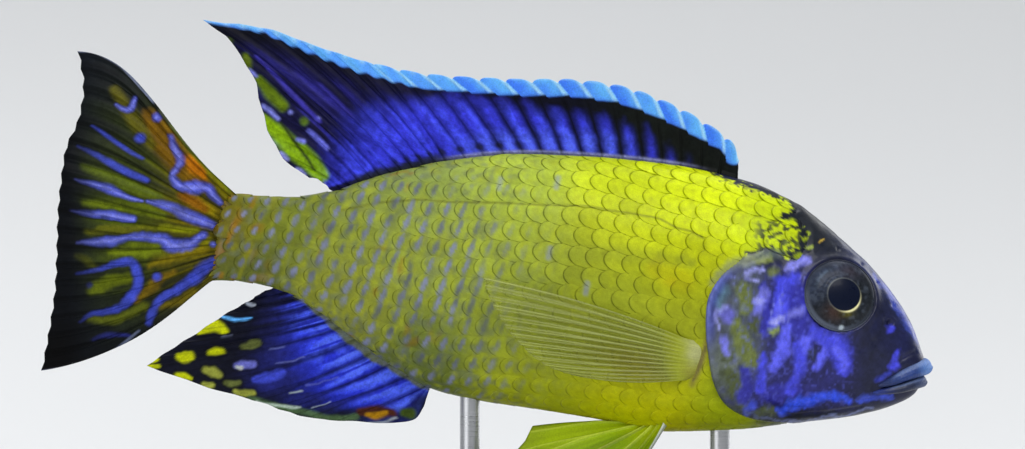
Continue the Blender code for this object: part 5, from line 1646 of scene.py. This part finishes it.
def make_pectorals(material):
    """Clear fans on the flanks, with fine pale rays."""
    ray = ray_numbers(PECTORAL["rays"], PECTORAL["per_ray"])
    ray, along = fin_grid(ray, PECTORAL_LENGTH, PECTORAL["rows"], ROOT_SINK)
    flat, _ = fin_places(PECTORAL, ray, along)
    inside = np.clip(along, 0.0, 1.0)
    skin, normal = skin_frame(flat[..., 0], flat[..., 1])
    off = PECTORAL_FLARE * (1 - (1 - inside) ** PECTORAL_FLARE_POWER)
    off = off + PECTORAL_ROOT_DIP * np.minimum(along, 0.0)
    off = off + 0.12 * np.sin(2 * math.pi * ray) * inside + 0.35 * inside ** 2 * np.sin(ray * 0.6)
    corner = np.abs(2 * ray / PECTORAL["rays"] - 1) ** 6
    off = off - 0.7 * corner * ramp(0.07, 0.0, inside)
    spots = skin + normal * off[..., None]
    ridge = ray_ridge(0, ray, inside, spots) * ramp(0.02, 0.26, inside)
    points, faces = closed_sheet(spots, fin_thickness(PECTORAL_THICK, along, ridge))
    streak = ray_streaks(2.5 * ray, 1.5 * along, 91)
    upper = ramp(10.0, 4.0, ray)
    root = ramp(0.10, 0.0, inside + 0.02 * noise(spots, 0.8, 93))
    lines = (1 - ridge) * ramp(0.10, 0.28, inside) * ramp(1.0, 0.7, inside) * ramp(-0.5, 0.5, streak)
    paint = layered(
        ground((156, 166, 62), spots),
        ((124, 110, 44), 0.7 * ramp(0.25, 0.6, ray / PECTORAL["rays"]) * bell(inside - 0.36, 0.2)),
        ((164, 172, 44), ramp(0.26, 0.12, inside)),
        ((160, 160, 66), 0.85 * root * (1 - upper)),
        ((188, 190, 132), 0.85 * root * upper),
        ((92, 86, 44), 0.55 * lines),
        ((180, 186, 124), 0.65 * ridge),
    )
    paint = paint * (1 + 0.14 * streak)[..., None]
    alpha = 0.24 + 0.72 * ramp(0.24, 0.02, inside) + 0.12 * ramp(0.7, 0.2, inside)
    alpha = np.clip(alpha + 0.30 * ridge + 0.10 * streak, 0.0, 0.97)
    add_pair("rayed_pectoral_fin", points, faces, material, "pectoral_membrane", node="pectoral_fin",
             paint=np.stack([paint, paint]), alpha=np.stack([alpha, alpha]))


def pelvic_ends(ray):
    """Root and tip of the left pelvic fin's rays, in mm."""
    numbers = np.arange(len(PELVIC_TIPS))
    tips = [np.interp(ray, numbers, values) for values in zip(*PELVIC_TIPS)]
    return along_line(PELVIC_ROOT, ray / numbers[-1]), np.stack(tips, axis=-1)


def make_pelvics(material):
    """The pair under the breast: a spine and five soft rays each."""
    ray = ray_numbers(len(PELVIC_TIPS) - 1, PELVIC_GRID[0])
    length = np.linalg.norm(np.subtract(*pelvic_ends(ray)), axis=-1)
    ray, along = fin_grid(ray, length, PELVIC_GRID[1], PELVIC_SINK)
    root, tip = pelvic_ends(ray)
    inside = np.clip(along, 0.0, 1.0)
    reach = along * (1 - PELVIC_NOTCH * np.abs(ray - np.round(ray)) * inside ** 2)
    sag = 4 * inside * (1 - inside)
    spots = root + (tip - root) * reach[..., None] + np.array(PELVIC_BOW) * sag[..., None]
    ridge = ray_ridge(1, ray, inside, spots)
    points, faces = closed_sheet(spots, fin_thickness(PELVIC_THICK, along, ridge))
    paint = layered(
        ground((128, 158, 10), spots),
        ((170, 186, 14), ramp(0.35, 0.0, inside)),
        ((60, 84, 40), 0.7 * ramp(0.75, 1.0, inside)),
        ((196, 206, 90), 0.55 * ridge),
        ((214, 222, 214), 0.85 * ramp(0.16, 0.04, ray)),
        ((84, 108, 8), 0.45 * ramp(2.2, 0.6, ray) * ramp(0.0, 0.3, inside) * (1 - ridge)),
        ((178, 196, 8), 0.45 * ramp(3.2, 4.4, ray) * ramp(0.0, 0.3, inside)),
    )
    paint = paint * (1 + 0.30 * ray_streaks(2.0 * ray, along, 92))[..., None]
    add_pair("rayed_pelvic_fin", points, faces, material, "pelvic_membrane", node="pelvic_fin",
             paint=np.stack([paint, paint]))


# The stand

BASE_CENTRE_X = 15.0
BASE_SIZE = (78.0, 42.0, 5.0)
BASE_CORNER = 10.0
BASE_EDGE = 0.8
ROD_X = dict(front=35.0, rear=-2.5)
ROD_RADIUS = 1.5
FOOT_RADIUS = 3.4
FOOT_HEIGHT = 1.6
FOOT_EDGE, FOOT_FILLET = 0.3, 0.8
ROD_SINK = 3.0
ROD_GAP = 0.3
AXIS_GAP = 0.02
SHARP_EDGE = math.radians(40)


def make_base(material):
    """A plate with round corners and soft edges."""
    length, width, height = BASE_SIZE
    shape = bmesh.new()
    bmesh.ops.create_cube(shape, size=1.0)
    place = Matrix.Translation((BASE_CENTRE_X, 0.0, height / 2))
    shape.transform(place @ Matrix.Diagonal((length, width, height, 1.0)))
    upright = [e for e in shape.edges if abs(e.verts[0].co.z - e.verts[1].co.z) > 0.5 * height]
    bmesh.ops.bevel(shape, geom=upright, offset=BASE_CORNER, segments=24, profile=0.5, affect="EDGES")
    for level, offset in ((height, BASE_EDGE), (0.0, BASE_EDGE / 2)):
        edges = [e for e in shape.edges if all(abs(v.co.z - level) < 0.01 for v in e.verts)]
        bmesh.ops.bevel(shape, geom=edges, offset=offset, segments=6, profile=0.5, affect="EDGES")
    shape.verts.index_update()
    points = np.array([v.co[:] for v in shape.verts])
    faces = [[v.index for v in face.verts] for face in shape.faces]
    shape.free()
    piece = add_piece("base_plate", points, faces, material, "stand_base", ("stand_base",))
    piece.data.set_sharp_from_angle(angle=SHARP_EDGE)


def quarter(count):
    """Sines and cosines of a quarter turn in this many steps."""
    return [(math.sin(a), math.cos(a)) for a in np.linspace(0, math.pi / 2, count)]


def make_rod(word, x, material):
    """A turned rod with a filleted foot, sunk into the belly."""
    bottom = BASE_SIZE[2] + ROD_GAP / 2
    foot = bottom + FOOT_HEIGHT
    top = float(smooth(BELLY_EDGE, x)) + ROD_SINK
    fillet = [(ROD_RADIUS + FOOT_FILLET * (1 - s), foot + FOOT_FILLET * (1 - c)) for s, c in quarter(8)]
    edge = [(FOOT_RADIUS - FOOT_EDGE * (1 - s), foot - FOOT_EDGE * (1 - c)) for s, c in quarter(6)]
    profile = [(AXIS_GAP, top), (ROD_RADIUS, top)] + fillet[::-1] + edge
    profile += [(FOOT_RADIUS, bottom), (AXIS_GAP, bottom)]
    radius, height = (np.array(values)[:, None] for values in zip(*profile))
    turn = round_turns(96)[None, :]
    grid = np.stack([x + radius * np.cos(turn), radius * np.sin(turn), height + 0 * turn], axis=-1)
    rows, columns = grid.shape[:2]
    ring = list(range(columns))
    faces = grid_quads(rows, columns, closed=True).tolist()
    faces += [ring, [(rows - 1) * columns + i for i in ring[::-1]]]
    piece = add_piece("steel_rod_" + word, grid, faces, material, "stand_rod", ("stand_rod_" + word,))
    piece.data.set_sharp_from_angle(angle=SHARP_EDGE)


# Floor, light and camera

SWEEP_RADIUS, SWEEP_START, SWEEP_HALF, SWEEP_TOP, SWEEP_FRONT = 1.5, 0.45, 7.0, 3.4, -7.0
PAPER = (0.66, 0.67, 0.68, 1)
WORLD_COLOUR, WORLD_STRENGTH = (0.93, 0.96, 1.0, 1), 0.22
FISH_MIDDLE, WALL_MIDDLE = (0.0, 0.0, 0.05), (0.0, 2.0, 0.9)
# Lights: place, target, size and power.
LIGHTS = dict(
    key=((0.35, -0.75, 0.75), FISH_MIDDLE, (0.6, 0.4), 5.2),
    fill=((-0.65, -0.70, 0.25), FISH_MIDDLE, (0.7, 0.5), 2.2),
    top=((0.0, 0.05, 0.9), FISH_MIDDLE, (0.9, 0.6), 3.0),
    back_left=((-0.5, 0.7, 0.5), FISH_MIDDLE, (0.5, 0.5), 2.6),
    back_right=((0.6, 0.6, 0.3), FISH_MIDDLE, (0.5, 0.5), 2.0),
    wall=((0.0, 0.9, 2.2), WALL_MIDDLE, (2.5, 1.0), 24.0),
)
CAMERA_PLACE = (0.0039, -1.4, 0.0563)
VIEW_WIDTH = 1025 * PX * MM
SENSOR = 36.0


def link(name, data):
    """A new object with this data in the scene."""
    made = bpy.data.objects.new(name, data)
    bpy.context.scene.collection.objects.link(made)
    return made


def paper_material():
    """Pale paper that is clear from behind, so that the model is seen from all sides."""
    material, tree, shader = node_tree("pale_paper")
    shader.inputs["Base Color"].default_value = PAPER
    shader.inputs["Roughness"].default_value = 0.8
    side = tree.nodes.new("ShaderNodeNewGeometry")
    clear = tree.nodes.new("ShaderNodeBsdfTransparent")
    choice = tree.nodes.new("ShaderNodeMixShader")
    output = next(node for node in tree.nodes if node.type == "OUTPUT_MATERIAL")
    tree.links.new(side.outputs["Backfacing"], choice.inputs[0])
    tree.links.new(shader.outputs["BSDF"], choice.inputs[1])
    tree.links.new(clear.outputs["BSDF"], choice.inputs[2])
    tree.links.new(choice.outputs["Shader"], output.inputs["Surface"])
    return material


def make_stage():
    """A pale sweep: floor, curve and wall."""
    bend = [(SWEEP_START + SWEEP_RADIUS * s, SWEEP_RADIUS * (1 - c)) for s, c in quarter(24)]
    profile = [(SWEEP_FRONT, 0.0), *bend, (SWEEP_START + SWEEP_RADIUS, SWEEP_TOP)]
    points = [(x, y, z) for y, z in profile for x in (-SWEEP_HALF, SWEEP_HALF)]
    faces = [(2 * i, 2 * i + 1, 2 * i + 3, 2 * i + 2) for i in range(len(profile) - 1)]
    mesh = bpy.data.meshes.new("sweep")
    mesh.from_pydata(points, [], faces)
    mesh.shade_smooth()
    mesh.materials.append(paper_material())
    link("sweep", mesh)


def make_lights():
    for name, (place, target, size, power) in LIGHTS.items():
        light = bpy.data.lights.new(name, "AREA")
        light.shape = "RECTANGLE"
        light.size, light.size_y = size
        light.energy = power
        lamp = link(name, light)
        lamp.location = place
        lamp.rotation_euler = (Vector(target) - Vector(place)).to_track_quat("-Z", "Y").to_euler()
    world = bpy.data.worlds.new("studio")
    world.use_nodes = True
    background = world.node_tree.nodes["Background"]
    background.inputs["Color"].default_value = WORLD_COLOUR
    background.inputs["Strength"].default_value = WORLD_STRENGTH
    bpy.context.scene.world = world


def make_camera():
    camera = bpy.data.cameras.new("camera")
    camera.sensor_width = SENSOR
    camera.lens = -CAMERA_PLACE[1] * SENSOR / VIEW_WIDTH
    camera.clip_end = 20.0
    holder = link("camera", camera)
    holder.location = CAMERA_PLACE
    holder.rotation_euler = (math.pi / 2, 0.0, 0.0)
    bpy.context.scene.camera = holder


def make_fish():
    skin = painted("fish_skin", 0.36, 5200.0, 0.03, coat=0.12, specular=0.22)
    scales = painted("fish_scales", 0.42, 6500.0, 0.03, mottle=0.14, coat=0.03, specular=0.11)
    lips = painted("lip_skin", 0.38, 6000.0, 0.03, coat=0.12)
    membrane = painted("dark_membrane", 0.48, 4200.0, 0.02, mottle=0.18, coat=0.01, specular=0.07)
    tail = painted("tail_membrane", 0.48, 4200.0, 0.02, mottle=0.2, coat=0.01, specular=0.07)
    clear = painted("clear_membrane", 0.44, 3600.0, 0.015, coat=0.03, specular=0.10, clear=True)
    pelvic = painted("yellow_membrane", 0.42, 4200.0, 0.02, mottle=0.16, coat=0.05, specular=0.15)
    eye = painted("eye_surface", 0.30, 5200.0, 0.0, mottle=0.15, coat=0.07, specular=0.08)
    make_skin(skin)
    make_scales(scales)
    make_eyes(eye, skin)
    make_lip("upper_lip", UPPER_LIP, lips)
    make_lip("lower_lip", LOWER_LIP, lips)
    make_median_fin("dorsal_fin", DORSAL, dorsal_paint, membrane, "fin_membrane")
    make_median_fin("anal_fin", ANAL, anal_paint, membrane, "fin_membrane")
    make_median_fin("tail_fin", TAIL, tail_paint, tail, "tail_membrane")
    make_pectorals(clear)
    make_pelvics(pelvic)


make_fish()
make_base(wood_material())
steel = steel_material()
for word, x in ROD_X.items():
    make_rod(word, x, steel)
make_stage()
make_lights()
make_camera()
bpy.context.scene.view_settings.view_transform = "Standard"
